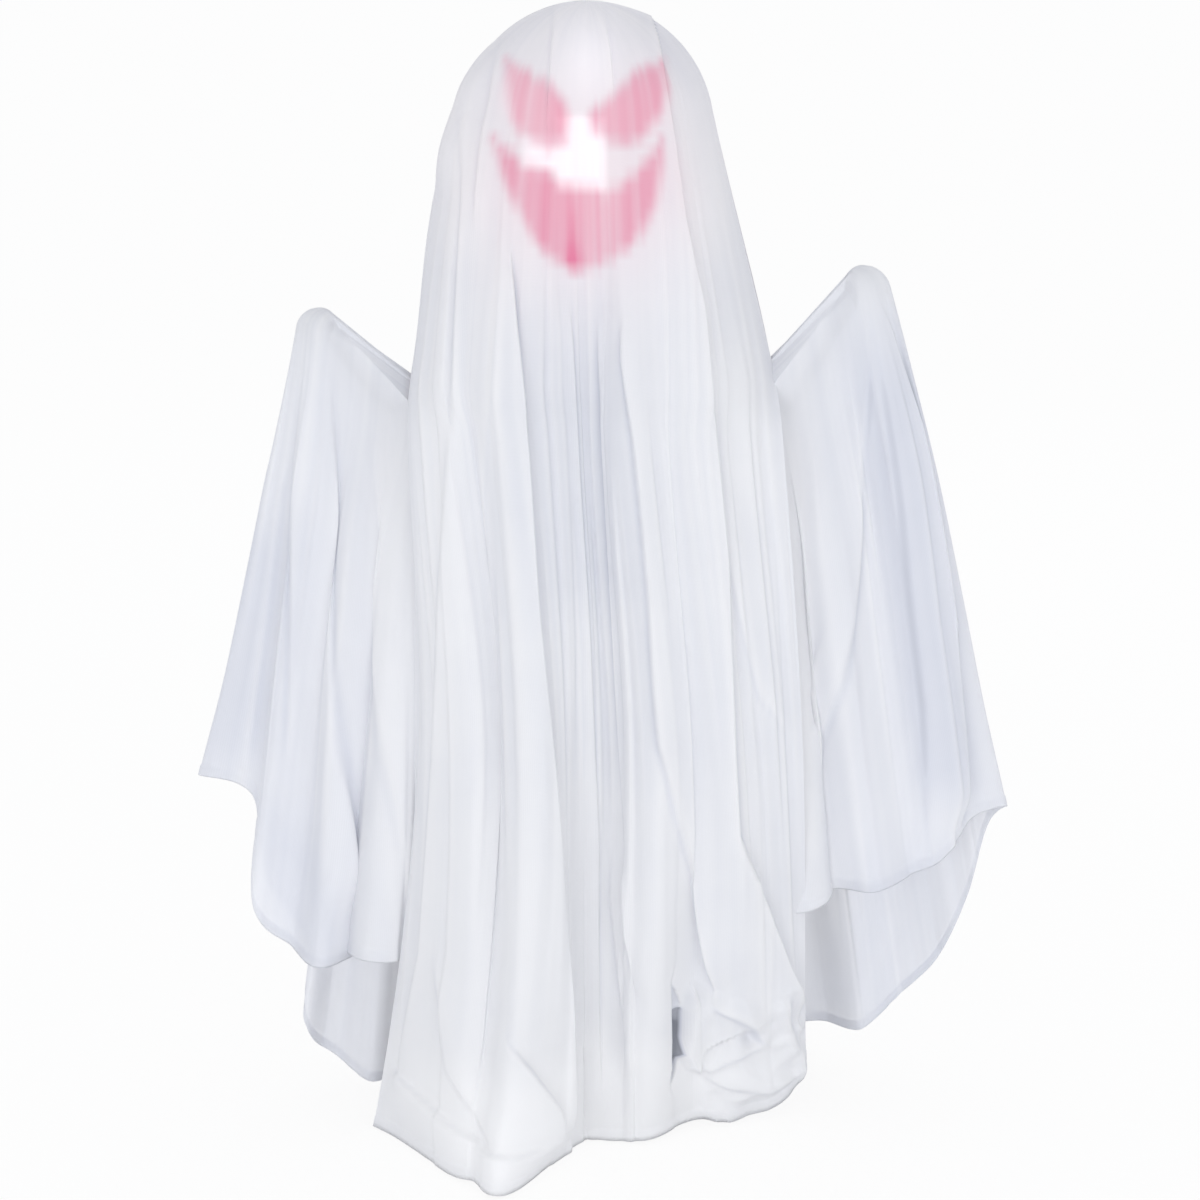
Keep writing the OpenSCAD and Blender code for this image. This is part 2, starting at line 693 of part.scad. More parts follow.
// Egg outline of the head, moved along its normal by off
function egg(a, off) =
  let (b = a >= 0 ? head_up : head_down / sin(61), n = [cos(a) / head_r, sin(a) / b])
  [head_r * cos(a), head_z + b * sin(a)] + off * n / norm(n);

crown_z = egg(82, 0)[1];
rim_r = egg(-61, 0)[0];

module egg_band(out, in) {
  a0 = [for (i = [0:30]) -61 + 143 * i / 30];
  outer = [for (a = a0) egg(a, out)];
  inner = [for (i = [30:-1:0]) egg(a0[i], in)];
  polygon(concat(outer, [[0, egg(82, out)[1]], [0, egg(82, in)[1]]], inner));
}

module head_half(turn) {
  rotate([0, 0, turn]) rotate_extrude(angle = 180) intersection() {
    union() {
      egg_band(0, -shell_t);
      translate([24, neck_z]) square([rim_r - 24.5, shell_t]);
    }
    translate([0, neck_z]) square([head_r + 1, head_up + head_down + 10]);
  }
}

module face_cut(grow) {
  rotate([90, 0, 0]) linear_extrude(height = head_r + 20) {
    for (s = [-1, 1]) eye_shape(s, grow);
    mouth_shape(grow);
  }
}

// Eye: a disc cut by a brow line that falls toward the nose
module eye_shape(side, grow) {
  translate([side * 47, head_z + 46]) intersection() {
    circle(eye_r + grow);
    rotate([0, 0, side * 36]) translate([-60, -120 + 0.22 * eye_r + grow]) square([120, 120]);
  }
}

function mouth_low(x, w, d) = d * pow(max(0, 1 - abs(x) / w), 0.29);
module mouth_shape(grow) {
  w = mouth_w + grow;
  d = mouth_d + 2 * grow;
  n = 12;
  xs = [for (i = [-n:n]) w * (i == 0 ? 0 : sign(i) * (1 - pow(1 - abs(i) / n, 2)))];
  top = [for (x = xs) [x, -46 * (1 - x * x / w / w) + grow]];
  low = [for (i = [2 * n - 1:-1:1]) [xs[i], -mouth_low(xs[i], w, d) + grow]];
  translate([0, head_z + 2]) polygon(concat(top, low));
}

module head_shell_front() {
  color([0.90, 0.90, 0.88]) difference() {
    head_half(180);
    face_cut(0);
    translate([0, 0, neck_z - 1]) head_holes(screw_r - 0.1, 10);
  }
}

module head_shell_back() {
  color([0.90, 0.90, 0.88]) difference() {
    head_half(0);
    translate([0, 0, neck_z - 1]) head_holes(screw_r - 0.1, 10);
  }
}

module head_screws() {
  color([0.62, 0.62, 0.64]) for (a = [45, 135, 225, 315]) rotate([0, 0, a]) translate([38, 0, neck_z - 4])
    screw_z(screw_r - 0.2, 0, 9, 1.8);
}

module lens_band(out, in) {
  rotate([0, 0, 180]) rotate_extrude(angle = 180) egg_band(out, in);
}

module lens(which) {
  color([0.93, 0.42, 0.58]) {
    intersection() {
      lens_band(0, -shell_t - 1.6);
      rotate([90, 0, 0]) linear_extrude(height = head_r + 20) lens_shape(which, -lens_gap);
    }
    intersection() {
      lens_band(-shell_t - 0.1, -shell_t - 1.6);
      rotate([90, 0, 0]) linear_extrude(height = head_r + 20) lens_shape(which, which == 0 ? 2 : 2.5);
    }
  }
}

module lens_shape(which, grow) {
  if (which == 0) mouth_shape(grow);
  else eye_shape(which, grow);
}

module left_eye_lens() {
  lens(-1);
}

module right_eye_lens() {
  lens(1);
}

module mouth_lens() {
  lens(0);
}

module lamp_post() {
  z0 = mast_top + 3;
  color([0.86, 0.86, 0.84]) difference() {
    union() {
      translate([0, 0, z0]) cylinder(r = 20, h = 3);
      translate([0, 0, z0]) cylinder(r = 8, h = head_z - z0 - 20);
      tube_box(-14, 14, -14, -8, head_z - 70, head_z + 20);
      tube_box(-6, 6, -10, 4, head_z - 60, head_z - 20);
    }
    translate([0, 0, z0 - 1]) cylinder(r = 5, h = head_z - z0 - 60);
  }
}

module led_board() {
  color([0.88, 0.89, 0.86]) tube_box(-20, 20, -15.7, -14.1, head_z - 75, head_z + 25);
}

module leds() {
  color([0.96, 0.60, 0.72]) for (z = [-58, -25, 8]) translate([0, -15.8, head_z + z]) rotate([90, 0, 0]) {
    cylinder(r = 5, h = 5, $fn = 48);
    translate([0, 0, 5]) sphere(5, $fn = 48);
  }
}

// Cloth: each panel is drawn through a few fold lines
function pick(list, i) = list[max(0, min(len(list) - 1, i))];
function spline(a, b, c, d, t) = 0.5 * (2 * b + (c - a) * t + (2 * a - 5 * b + 4 * c - d) * t * t
  + (3 * b - a - 3 * c + d) * t * t * t);
function across(list, u) = let (i = min(floor(u), len(list) - 2))
  spline(pick(list, i - 1), list[i], list[i + 1], pick(list, i + 2), u - i);
function clamp01(x) = max(0, min(1, x));
function ease(x) = let (t = clamp01(x)) t * t * (3 - 2 * t);

// Places of the cloth
facet_room = 1.1;
cloth_off = cloth_gap + cloth_t + facet_room;
crown_a = 88.5;
leave_a = 11;
wing_root_x = 150;
leave_z = egg(leave_a, cloth_off)[1];
sh_z = arm_z - 6;
ear_z = sh_z + 56;
mid_z = 0.56 * sh_z;

// Body fold lines: angle on the head, then x y at the ear, the shoulder and mid height, then hem x y z
// Front, left to right
front_folds = [
  [180.2, -184, -0.5, -187, -72, -178, -100, -232, -104, 3],
  [196, -178, -62, -178, -104, -162, -128, -184, -166, 2],
  [212, -148, -112, -142, -130, -120, -162, -140, -234, 2],
  [225, -118, -124, -113, -128, -92, -146, -114, -258, 4],
  [237, -90, -146, -86, -149, -64, -173, -90, -288, 2],
  [249, -60, -146, -56, -146, -38, -152, -42, -206, 2],
  [262, -18, -124, -15, -120, -8, -118, -8, -142, 3],
  [274, 18, -122, 18, -118, 36, -116, 30, -140, 2],
  [284, 42, -144, 44, -146, 70, -158, 66, -138, 4],
  [297, 76, -130, 78, -129, 108, -136, 114, -92, 8],
  [312, 116, -132, 116, -136, 150, -148, 170, -82, 6],
  [328, 160, -88, 160, -108, 190, -122, 222, -60, 20],
  [359.8, 195, -12, 203, -72, 228, -98, 240, -46, 58]];

// Back, right to left
back_folds = [
  [0.2, 195, 12, 198, 72, 196, 112, 205, 132, 4],
  [20, 172, 80, 168, 112, 172, 142, 190, 172, 3],
  [35, 142, 122, 140, 130, 140, 150, 160, 167, 3],
  [50, 112, 154, 112, 162, 112, 192, 135, 215, 3],
  [67, 68, 154, 68, 158, 66, 168, 72, 190, 3],
  [82, 24, 169, 24, 176, 26, 205, 30, 235, 3],
  [97, -20, 158, -20, 162, -22, 172, -28, 200, 3],
  [112, -66, 166, -66, 173, -70, 200, -82, 228, 3],
  [128, -104, 144, -104, 148, -108, 160, -124, 182, 3],
  [145, -142, 126, -142, 140, -144, 164, -165, 188, 3],
  [161, -168, 78, -166, 110, -166, 138, -185, 165, 3],
  [179.8, -184, 0.5, -186, 72, -184, 112, -200, 132, 4]];

// Wing fold lines, front to back: start y, share of the way to the hand, hem x as a share of the reach, hem y z
left_folds = [
  [-95, 0, 0.56, -100, 185],
  [-72, 0.06, 0.66, -78, 190],
  [-52, 0.20, 0.80, -90, 190],
  [-40, 0.36, 0.90, -54, 186],
  [-30, 0.55, 1.02, -90, 180],
  [-20, 0.75, 1.13, -52, 190],
  [-12, 0.90, 1.235, -64, 236],
  [-6, 0.97, 1.275, -30, 352],
  [0, 1, 1.485, 0, 369],
  [6, 0.97, 1.30, 26, 352],
  [12, 0.90, 1.23, 44, 240],
  [20, 0.75, 1.12, 80, 150],
  [30, 0.55, 1.07, 36, 66],
  [40, 0.36, 0.96, 66, 20],
  [55, 0.18, 0.84, 16, 8],
  [75, 0.06, 0.70, 62, 6],
  [95, 0, 0.56, 100, 8]];
right_folds = [
  [-95, 0, 0.56, -95, 240],
  [-72, 0.06, 0.68, -66, 240],
  [-52, 0.20, 0.80, -62, 240],
  [-40, 0.36, 0.92, -44, 256],
  [-30, 0.55, 1.05, -82, 290],
  [-20, 0.75, 1.17, -52, 330],
  [-12, 0.90, 1.31, -60, 358],
  [-6, 0.97, 1.43, -24, 356],
  [0, 1, 1.57, -4, 342],
  [6, 0.97, 1.49, 22, 318],
  [12, 0.90, 1.455, 40, 222],
  [20, 0.75, 1.34, 60, 140],
  [30, 0.55, 1.20, 84, 86],
  [40, 0.36, 1.05, 60, 58],
  [55, 0.18, 0.90, 92, 56],
  [75, 0.06, 0.72, 76, 52],
  [95, 0, 0.58, 100, 48]];

// Cloth stays outside the base housing near the floor
function keep_out(p) = let (r = norm([p[0], p[1]]), least = base_r + 6 + cloth_t)
  p[2] > base_h + 60 || r >= least ? p : [p[0] * least / r, p[1] * least / r, p[2]];

// Front and back panels each stay on their own side of the seam
seam_gap = 1.2;
function own_side(q, a) = [q[0], sin(a) < 0 ? min(q[1], -seam_gap) : max(q[1], seam_gap)];

// Smooth curve down a fold line
function slope(zs, ps, k) = (ps[k + 1] - ps[k - 1]) / (zs[k + 1] - zs[k - 1]);
function bridge(a, b, sa, sb, h, t) = a * (2 * t * t * t - 3 * t * t + 1) + sa * h * (t * t * t - 2 * t * t + t)
  + b * (3 * t * t - 2 * t * t * t) + sb * h * (t * t * t - t * t);
// Outward slope where the cloth leaves the head, fuller on the left
function puff(a) = 0.22 + 0.26 * pow(max(0, -cos(a)), 3);
// One point of a body panel, from the crown at v = 0 to the hem at v = 1
function panel_point(f, v) = v < 0.4
  ? let (e = egg(crown_a + (leave_a - crown_a) * v / 0.4, cloth_off)) [e[0] * cos(f[0]), e[0] * sin(f[0]), e[1]]
  : let (dir = [cos(f[0]), sin(f[0])],
      zs = [leave_z, ear_z, sh_z, mid_z, f[9]],
      ps = [egg(leave_a, cloth_off)[0] * dir, [f[1], f[2]], [f[3], f[4]], [f[5], f[6]], [f[7], f[8]]],
      ss = [-puff(f[0]) * dir, slope(zs, ps, 1), slope(zs, ps, 2), slope(zs, ps, 3),
        1.5 * (ps[4] - ps[3]) / (zs[4] - zs[3])],
      z = leave_z + (f[9] - leave_z) * (v - 0.4) / 0.6,
      k = z > zs[1] ? 0 : z > zs[2] ? 1 : z > zs[3] ? 2 : 3,
      t = (z - zs[k]) / (zs[k + 1] - zs[k]),
      q = own_side(bridge(ps[k], ps[k + 1], ss[k], ss[k + 1], zs[k + 1] - zs[k], t), f[0]))
    keep_out([q[0], q[1], max(z, cloth_t + 0.2)]);

// Cloth over a hand rides clear of the ball
function over_hand(p, hand, clear) = let (away = norm([p[0] - hand[0], p[1] - hand[1]]))
  away >= clear ? p : [p[0], p[1], max(p[2], hand[2] + sqrt(clear * clear - away * away))];

// Slope of the cloth on either side of the arm
tent = 0.9;

// One point of a wing, along the arm for v < 0 and down to the hem at v = 1
function wing_point(f, side, v) =
  let (hand = hand_point(side),
    reach = abs(hand[0]),
    clear = hand_r + cloth_t + 3.6,
    roof = arm_z + (arm_d / 2 + cloth_t + cloth_gap) * sqrt(1 + tent * tent),
    start = [side * wing_root_x, f[0], roof - tent * abs(f[0])],
    tx = side * (wing_root_x + (reach - wing_root_x) * f[1]),
    ty = f[0] * (1 - f[1]) + sign(f[0]) * 6 * ease(f[1] * 4) * (1 - ease(f[1] * 8 - 7)),
    ridge = roof + (hand[2] + clear - roof) * pow(f[1], 1.25) - tent * abs(f[0]) * (1 - f[1]),
    top = over_hand([tx, ty, ridge], hand, clear),
    hem = [side * reach * f[2], f[3], f[4]],
    turn = 90 * sqrt(clamp01((1 - f[1]) * 4)),
    w = max(0, v),
    drop = (top[2] - hem[2]) * w,
    round = clamp01(drop / clear),
    push = clear * sqrt(1 - (1 - round) * (1 - round)) * (1 - w) * ease(3.2 * f[1] - 2.1),
    go = pow(w, 0.88))
  v < 0 ? over_hand(start + (top - start) * (1 + v), hand, clear)
  : keep_out([top[0] + (hem[0] - top[0]) * go + side * push * cos(turn),
      top[1] + (hem[1] - top[1]) * go + sign(f[0]) * push * sin(turn), top[2] - drop]);

// Thin closed solid over a grid of points, thickened along the surface normal
function unit(p) = p / max(norm(p), 1e-6);
function grid_normal(g, i, j) = let (r = len(g) - 1, c = len(g[0]) - 1)
  unit(cross(g[i][min(j + 1, c)] - g[i][max(j - 1, 0)], g[min(i + 1, r)][j] - g[max(i - 1, 0)][j]));

module cloth_solid(g, flip) {
  rows = len(g);
  cols = len(g[0]);
  n = rows * cols;
  outer = [for (i = [0:rows - 1], j = [0:cols - 1]) g[i][j]];
  inner = [for (i = [0:rows - 1], j = [0:cols - 1])
    let (p = g[i][j] + flip * cloth_t * grid_normal(g, i, j)) [p[0], p[1], max(p[2], 0.2)]];
  quads = [for (i = [0:rows - 2], j = [0:cols - 2])
    [i * cols + j, i * cols + j + 1, (i + 1) * cols + j + 1, (i + 1) * cols + j]];
  rim = concat([for (j = [0:cols - 1]) j], [for (i = [1:rows - 1]) i * cols + cols - 1],
    [for (j = [cols - 2:-1:0]) (rows - 1) * cols + j], [for (i = [rows - 2:-1:1]) i * cols]);
  front = [for (q = quads, h = [0, 1]) h == 0 ? [q[0], q[1], q[2]] : [q[0], q[2], q[3]]];
  back = [for (t = front) [t[2] + n, t[1] + n, t[0] + n]];
  side = [for (k = [0:len(rim) - 1], h = [0, 1]) let (a = rim[k], b = rim[(k + 1) % len(rim)])
    h == 0 ? [a, a + n, b + n] : [a, b + n, b]];
  faces = concat(front, back, side);
  polyhedron(points = concat(outer, inner),
    faces = flip > 0 ? faces : [for (t = faces) [t[2], t[1], t[0]]], convexity = 10);
}

panel_rows = [0, 0.08, 0.16, 0.24, 0.32, 0.4, 0.46, 0.52, 0.545, 0.58, 0.66, 0.76, 0.87, 0.95, 1];
wing_rows = [-1, -0.5, -0.22, -0.13, -0.06, 0, 0.008, 0.02, 0.04, 0.08, 0.16, 0.27, 0.4, 0.55, 0.7, 0.85, 1];

module panel(folds, per) {
  g = [for (v = panel_rows) [for (k = [0:(len(folds) - 1) * per]) panel_point(across(folds, k / per), v)]];
  cloth_solid(g, -1);
}

module wing(folds, side, per) {
  g = [for (v = wing_rows) [for (k = [0:(len(folds) - 1) * per]) wing_point(across(folds, k / per), side, v)]];
  cloth_solid(g, side);
}

module front_cloth() {
  color([0.93, 0.93, 0.95]) panel(front_folds, 3);
}

module back_cloth() {
  color([0.93, 0.93, 0.95]) panel(back_folds, 3);
}

module left_wing() {
  color([0.91, 0.91, 0.94]) wing(left_folds, -1, 2);
}

module right_wing() {
  color([0.91, 0.91, 0.94]) wing(right_folds, 1, 2);
}

foot_pad();
base_plate();
base_housing();
ballast_ring();
base_screws();
speaker();
battery_box();
batteries();
battery_door();
battery_door_pin();
control_board();
board_screws();
switch_body();
switch_knob();
test_button();
button_switch();
mast_column();
column_collar();
collar_screws();
upper_guide();
drive_frame();
shaft_bushes();
drive_shaft();
rack_pinion();
drive_gear();
drive_motor();
motor_pinion();
gear_cover();
drive_screws();
mast_tube();
rack();
slide_block();
shoulder_block();
arm_screws();
left_arm();
right_arm();
left_hand();
right_hand();
neck_socket();
head_shell_front();
head_shell_back();
head_screws();
left_eye_lens();
right_eye_lens();
mouth_lens();
lamp_post();
led_board();
leds();
front_cloth();
back_cloth();
left_wing();
right_wing();
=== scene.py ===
"""Animated rising ghost: sheer cloth, lit face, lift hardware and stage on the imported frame."""

import json
import math

import bpy
import numpy as np
from bpy.props import FloatProperty, FloatVectorProperty, PointerProperty
from bpy.types import Operator, Panel, PropertyGroup
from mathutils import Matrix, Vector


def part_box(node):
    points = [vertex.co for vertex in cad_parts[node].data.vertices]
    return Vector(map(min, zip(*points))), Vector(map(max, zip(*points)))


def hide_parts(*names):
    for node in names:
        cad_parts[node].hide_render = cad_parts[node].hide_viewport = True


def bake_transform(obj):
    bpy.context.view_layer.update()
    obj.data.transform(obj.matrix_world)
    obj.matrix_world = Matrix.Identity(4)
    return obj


bl_info = {
    "name": "Rising Ghost",
    "version": (1, 0, 0),
    "blender": (4, 5, 0),
    "location": "View3D > Sidebar > Ghost",
    "description": "Dresses the rising ghost with cloth, a lit face, hardware finishes and a stage",
    "category": "Object",
}

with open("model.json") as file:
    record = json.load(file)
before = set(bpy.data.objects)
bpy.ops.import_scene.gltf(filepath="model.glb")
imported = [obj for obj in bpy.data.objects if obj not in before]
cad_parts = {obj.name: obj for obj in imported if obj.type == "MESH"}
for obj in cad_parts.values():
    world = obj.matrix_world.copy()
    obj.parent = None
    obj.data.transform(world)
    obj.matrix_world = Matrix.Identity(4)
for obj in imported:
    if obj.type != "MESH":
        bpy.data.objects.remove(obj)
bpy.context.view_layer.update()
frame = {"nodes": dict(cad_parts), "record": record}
MM = 0.001

# Sizes from the frame
BASE_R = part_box("base_housing")[1].x
DECK_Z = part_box("column_collar")[0].z
HEAD_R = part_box("head_shell_back")[1].x
NECK_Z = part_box("head_shell_back")[0].z
HEAD_UP = 132 * MM
HEAD_DOWN = 172 * MM
HEAD_Z = NECK_Z + HEAD_DOWN
NECK_A = 61.0
HEAD_LOW = HEAD_DOWN / math.sin(math.radians(NECK_A))
ARM_R = 6 * MM
ELBOW_R = ARM_R + 0.6 * MM
ARM_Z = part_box("left_arm")[0].z + ELBOW_R
HAND_R = (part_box("left_hand")[1].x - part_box("left_hand")[0].x) / 2

# Cloth: thickness, gaps, angles on the head and heights
CLOTH_T = 1.2 * MM
CLOTH_GAP = 0.3 * MM
FACET_ROOM = 1.1 * MM
CLOTH_OFF = CLOTH_GAP + CLOTH_T + FACET_ROOM
BASE_ROOM = 6 * MM
HEAD_ROOM = 1.6 * MM
HAND_ROOM = 3.6 * MM
CROWN_A = 88.5
LEAVE_A = 11.0
CROWN_SHARE = 0.4
FREE_Z = 1.13
FREE_RUN = 0.35
WING_ROOT_X = 150 * MM
SHOULDER_Z = ARM_Z - 6 * MM
EAR_Z = SHOULDER_Z + 56 * MM
MID_Z = 0.56 * SHOULDER_Z
SEAM_GAP = 1.2 * MM
FLOOR_GAP = 0.2 * MM

# Slope of a wing's roof behind and in front of its arm, its bow, and how each side flares on its way down
TENT = 0.9
FRONT_TENT = 0.5
WING_BOW = 6 * MM
FLARE = {-1: 1.1, 1: 0.91}

# Mesh of a panel and a wing: rows on top, below and near the hem, columns between fold lines, small folds
PANEL_ROWS = (34, 74, 92)
PANEL_COLUMNS = 34
PANEL_SMALL_FOLDS = 56
WING_ROWS = (36, 104, 36)
WING_COLUMNS = 24
WING_SMALL_FOLDS = 26
FRONT_SEED = 3
BACK_SEED = 17
LEFT_SEED = 23
RIGHT_SEED = 29

# Width of the painted shade under a sharp fold and strength of the painted highlight on its crest
PANEL_SHADE = 2.2 * MM
PANEL_GLINT = 0.6
WING_SHADE = 3.4 * MM
WING_GLINT = 0.3

# Wave and step of the hems, lift of the wings' inner edges and soft edge of the face's light
HEM_WAVE = 6 * MM
HEM_STEP = 0.9 * MM
INNER_LIFT = 20 * MM
SOFT_EDGE = 9 * MM

# How far folds may sink: on the crown, more where a panel hangs free, and on a wing
CROWN_SINK = 1.0 * MM
PANEL_SINK = 26 * MM
WING_SINK = 6 * MM

# Rows of the turned hem: share of its width, gap behind the cloth in millimetres
TURNED_HEM = ((0.02, 0.4), (0.35, 0.7), (0.7, 0.7), (1.0, 0.4))

# Body fold lines: angle on the head, x y at the ear, shoulder and mid height, hem x y z, in millimetres
FRONT_FOLDS = (
    (180.2, -184, -0.5, -187, -72, -178, -100, -232, -104, 3),
    (196, -178, -62, -178, -104, -162, -128, -184, -166, 2),
    (212, -148, -112, -142, -130, -120, -162, -140, -234, 2),
    (225, -118, -124, -113, -128, -92, -146, -114, -258, 4),
    (237, -90, -146, -86, -149, -64, -173, -90, -288, 2),
    (249, -60, -146, -56, -146, -38, -152, -42, -206, 2),
    (262, -18, -124, -15, -120, -8, -118, -8, -142, 3),
    (274, 18, -122, 18, -118, 36, -116, 30, -140, 2),
    (284, 42, -144, 44, -146, 70, -158, 66, -138, 4),
    (297, 76, -130, 78, -129, 108, -136, 114, -92, 8),
    (312, 116, -132, 116, -136, 150, -148, 170, -82, 6),
    (328, 160, -88, 160, -108, 190, -122, 222, -60, 20),
    (359.8, 195, -12, 203, -72, 228, -98, 240, -46, 58),
)
BACK_FOLDS = (
    (0.2, 195, 12, 198, 72, 196, 112, 205, 132, 4),
    (20, 172, 80, 168, 112, 172, 142, 190, 172, 3),
    (35, 142, 122, 140, 130, 140, 150, 160, 167, 3),
    (50, 112, 154, 112, 162, 112, 192, 135, 215, 3),
    (67, 68, 154, 68, 158, 66, 168, 72, 190, 3),
    (82, 24, 169, 24, 176, 26, 205, 30, 235, 3),
    (97, -20, 158, -20, 162, -22, 172, -28, 200, 3),
    (112, -66, 166, -66, 173, -70, 200, -82, 228, 3),
    (128, -104, 144, -104, 148, -108, 160, -124, 182, 3),
    (145, -142, 126, -142, 140, -144, 164, -165, 188, 3),
    (161, -168, 78, -166, 110, -166, 138, -185, 165, 3),
    (179.8, -184, 0.5, -186, 72, -184, 112, -200, 132, 4),
)

# Wing fold lines: start y, share of the way to the hand, hem x as a share of the reach, hem y z
LEFT_FOLDS = (
    (-95, 0, 0.56, -100, 185),
    (-72, 0.06, 0.66, -78, 190),
    (-52, 0.20, 0.80, -90, 190),
    (-40, 0.36, 0.90, -54, 186),
    (-30, 0.55, 1.02, -90, 180),
    (-20, 0.75, 1.13, -52, 190),
    (-12, 0.90, 1.27, -64, 236),
    (-6, 0.97, 1.275, -30, 352),
    (0, 1, 1.485, 0, 369),
    (6, 0.97, 1.30, 26, 352),
    (12, 0.90, 1.265, 44, 240),
    (20, 0.75, 1.12, 80, 150),
    (30, 0.55, 1.115, 36, 66),
    (40, 0.36, 1.01, 66, 18),
    (55, 0.18, 0.86, 16, 6),
    (75, 0.06, 0.70, 62, 6),
    (95, 0, 0.56, 100, 8),
)
RIGHT_FOLDS = (
    (-95, 0, 0.56, -95, 240),
    (-72, 0.06, 0.68, -66, 240),
    (-52, 0.20, 0.80, -62, 240),
    (-40, 0.36, 0.92, -44, 256),
    (-30, 0.55, 1.06, -82, 262),
    (-20, 0.75, 1.19, -52, 272),
    (-12, 0.90, 1.32, -60, 292),
    (-6, 0.97, 1.42, -24, 326),
    (0, 1, 1.552, -4, 334),
    (6, 0.97, 1.505, 22, 304),
    (12, 0.90, 1.455, 40, 222),
    (20, 0.75, 1.35, 60, 138),
    (30, 0.55, 1.205, 84, 82),
    (40, 0.36, 1.06, 60, 50),
    (55, 0.18, 0.90, 92, 48),
    (75, 0.06, 0.72, 76, 52),
    (95, 0, 0.58, 100, 48),
)

# Sharp folds: x z down the fold, height, width on the left and on the right in millimetres, painted shade
# below
FRONT_CREASES = (
    (
        ((62, 1190), (80, 1080), (91, 994), (108, 907), (136, 640), (153, 349), (184, 252), (230, 125)),
        12, 46, 2.5, 2.4,
    ),
    (((-77, 955), (-67, 760), (-60, 600), (-38, 220), (-34, 20)), 15, 42, 2.5, 2.4),
    (((39, 880), (65, 600), (76, 450), (92, 362), (113, 283), (139, 169)), 11, 3, 34, 1.5),
    (((132, 724), (164, 554), (181, 490), (213, 444)), 5, 8, 26, 0.9),
    (((-117, 1090), (-134, 808), (-153, 490), (-172, 214), (-201, 67)), 5, 4, 26, 0.9),
    (((-87, 964), (-104, 707), (-101, 387), (-114, 109)), 3, 20, 6, 0.6),
    (((14, 880), (30, 600), (44, 390), (58, 170)), 5, 2.5, 18, 0.9),
    (((-20, 900), (-8, 620), (8, 330), (12, 60)), 4, 14, 2.5, 0.8),
    (((-151, 209), (-137, 105), (-91, 41)), 5, 8, 24, 0.9),
    (((-87, 152), (-54, 68), (-46, 24), (-49, 7)), 8, 30, 5, 1.5),
    (((-30, 1196), (-34, 1130), (-38, 1090)), 5, 2.5, 12, 0.9),
    (((15, 1190), (21, 1140), (24, 1105)), 4, 12, 2.5, 0.8),
    (((-84, 1160), (-100, 1080), (-108, 990)), 4, 3, 20, 0.8),
    (((-100, 1150), (-119, 1110), (-134, 1065), (-146, 1020)), 13, 12, 14, 0.2),
    (((55, 1215), (62, 1190), (69, 1160), (75, 1125)), 1, 8, 2.5, 1.8),
)
LEFT_CREASES = (
    (((-276, 868), (-271, 762), (-268, 623), (-267, 415), (-262, 246)), 9, 22, 4, 1.5),
    (((-296, 795), (-304, 712), (-318, 415)), 6, 4, 18, 1.1),
    (((-324, 714), (-347, 550), (-369, 395)), 4, 22, 4, 0.8),
    (((-223, 757), (-208, 572), (-200, 372), (-194, 201)), 4, 4, 22, 0.8),
)
RIGHT_CREASES = (
    (((292, 928), (319, 859), (346, 757), (367, 652), (384, 555), (398, 332)), 13, 32, 2.5, 4.5),
    (((288, 929), (291, 814), (287, 686), (280, 586), (270, 493), (251, 403)), 6, 26, 4, 1.1),
    (((262, 544), (251, 489), (238, 446), (220, 429)), 3, 5, 16, 0.6),
    (((306, 874), (337, 660), (363, 462), (374, 320)), 3, 8, 30, 0.6),
)

# Bunched cloth on the floor: x z along the fold, height, width on its left and on its right, in millimetres
FLOOR_FOLDS = (
    (((112, 176), (103, 146), (101, 112), (97, 94), (104, 78), (124, 66)), 19, 52, 3),
    (((121, 72), (148, 85), (169, 92), (189, 95)), 8, 14, 7),
    (((121, 68), (159, 51), (196, 38), (223, 46)), 7, 15, 7),
    (((136, 158), (158, 141), (176, 123), (192, 92)), 9, 22, 6),
    (((205, 150), (214, 110), (226, 70)), 6, 4, 16),
    (((30, 320), (27, 270), (33, 214), (40, 158), (48, 123), (46, 72)), 5, 16, 3),
    (((47, 314), (53, 236), (37, 169)), 4, 4, 12),
    (((-222, 74), (-156, 52), (-117, 41), (-82, 33), (-46, 29)), 8, 5, 44),
)

# Dent in the bunched cloth, also painted darker as shade: x z and radius in millimetres
FLOOR_DENT = (176, 104, 11)

# Slit between two folds on the floor, painted dark grey as shade: z, middle x and half width in millimetres
SLIT = (
    (60, 86, 0.8),
    (75, 90, 2.5),
    (94, 91, 4.2),
    (112, 92, 4.8),
    (146, 92.5, 6.0),
    (158, 91, 4.5),
    (178, 87, 1.2),
)
SLIT_MID_Z = 120 * MM

# Bands of thinner cloth with painted shade, or of doubled cloth with painted light where the share is under
# 0: x z down the band, half width, share
FRONT_THIN_SHADE_LIGHT = (
    (((-20, 940), (-14, 760), (-4, 590)), 54, 2.0),
    (((-76, 900), (-76, 760), (-74, 680)), 16, 0.8),
    (((52, 760), (60, 500), (66, 200)), 16, 0.7),
    (((20, 480), (24, 300), (26, 60)), 40, -0.3),
    (((-40, 420), (-40, 20)), 200, -1.3),
    (((180, 640), (188, 590), (205, 420), (225, 250)), 34, 0.45),
    (((0, 150), (0, -40)), 260, -2.0),
    (((-152, 880), (-154, 600), (-158, 400)), 26, -1.3),
    (((150, 900), (168, 740), (176, 690)), 26, -1.2),
    (((-118, 1130), (-122, 1050), (-126, 960)), 26, -1.2),
    (((112, 1110), (116, 1050), (125, 960)), 26, -1.5),
    (((34, 175), (33, 120), (32, 80)), 13, 1.0),
    (((60, 1215), (84, 1168), (104, 1130)), 26, 1.5),
)
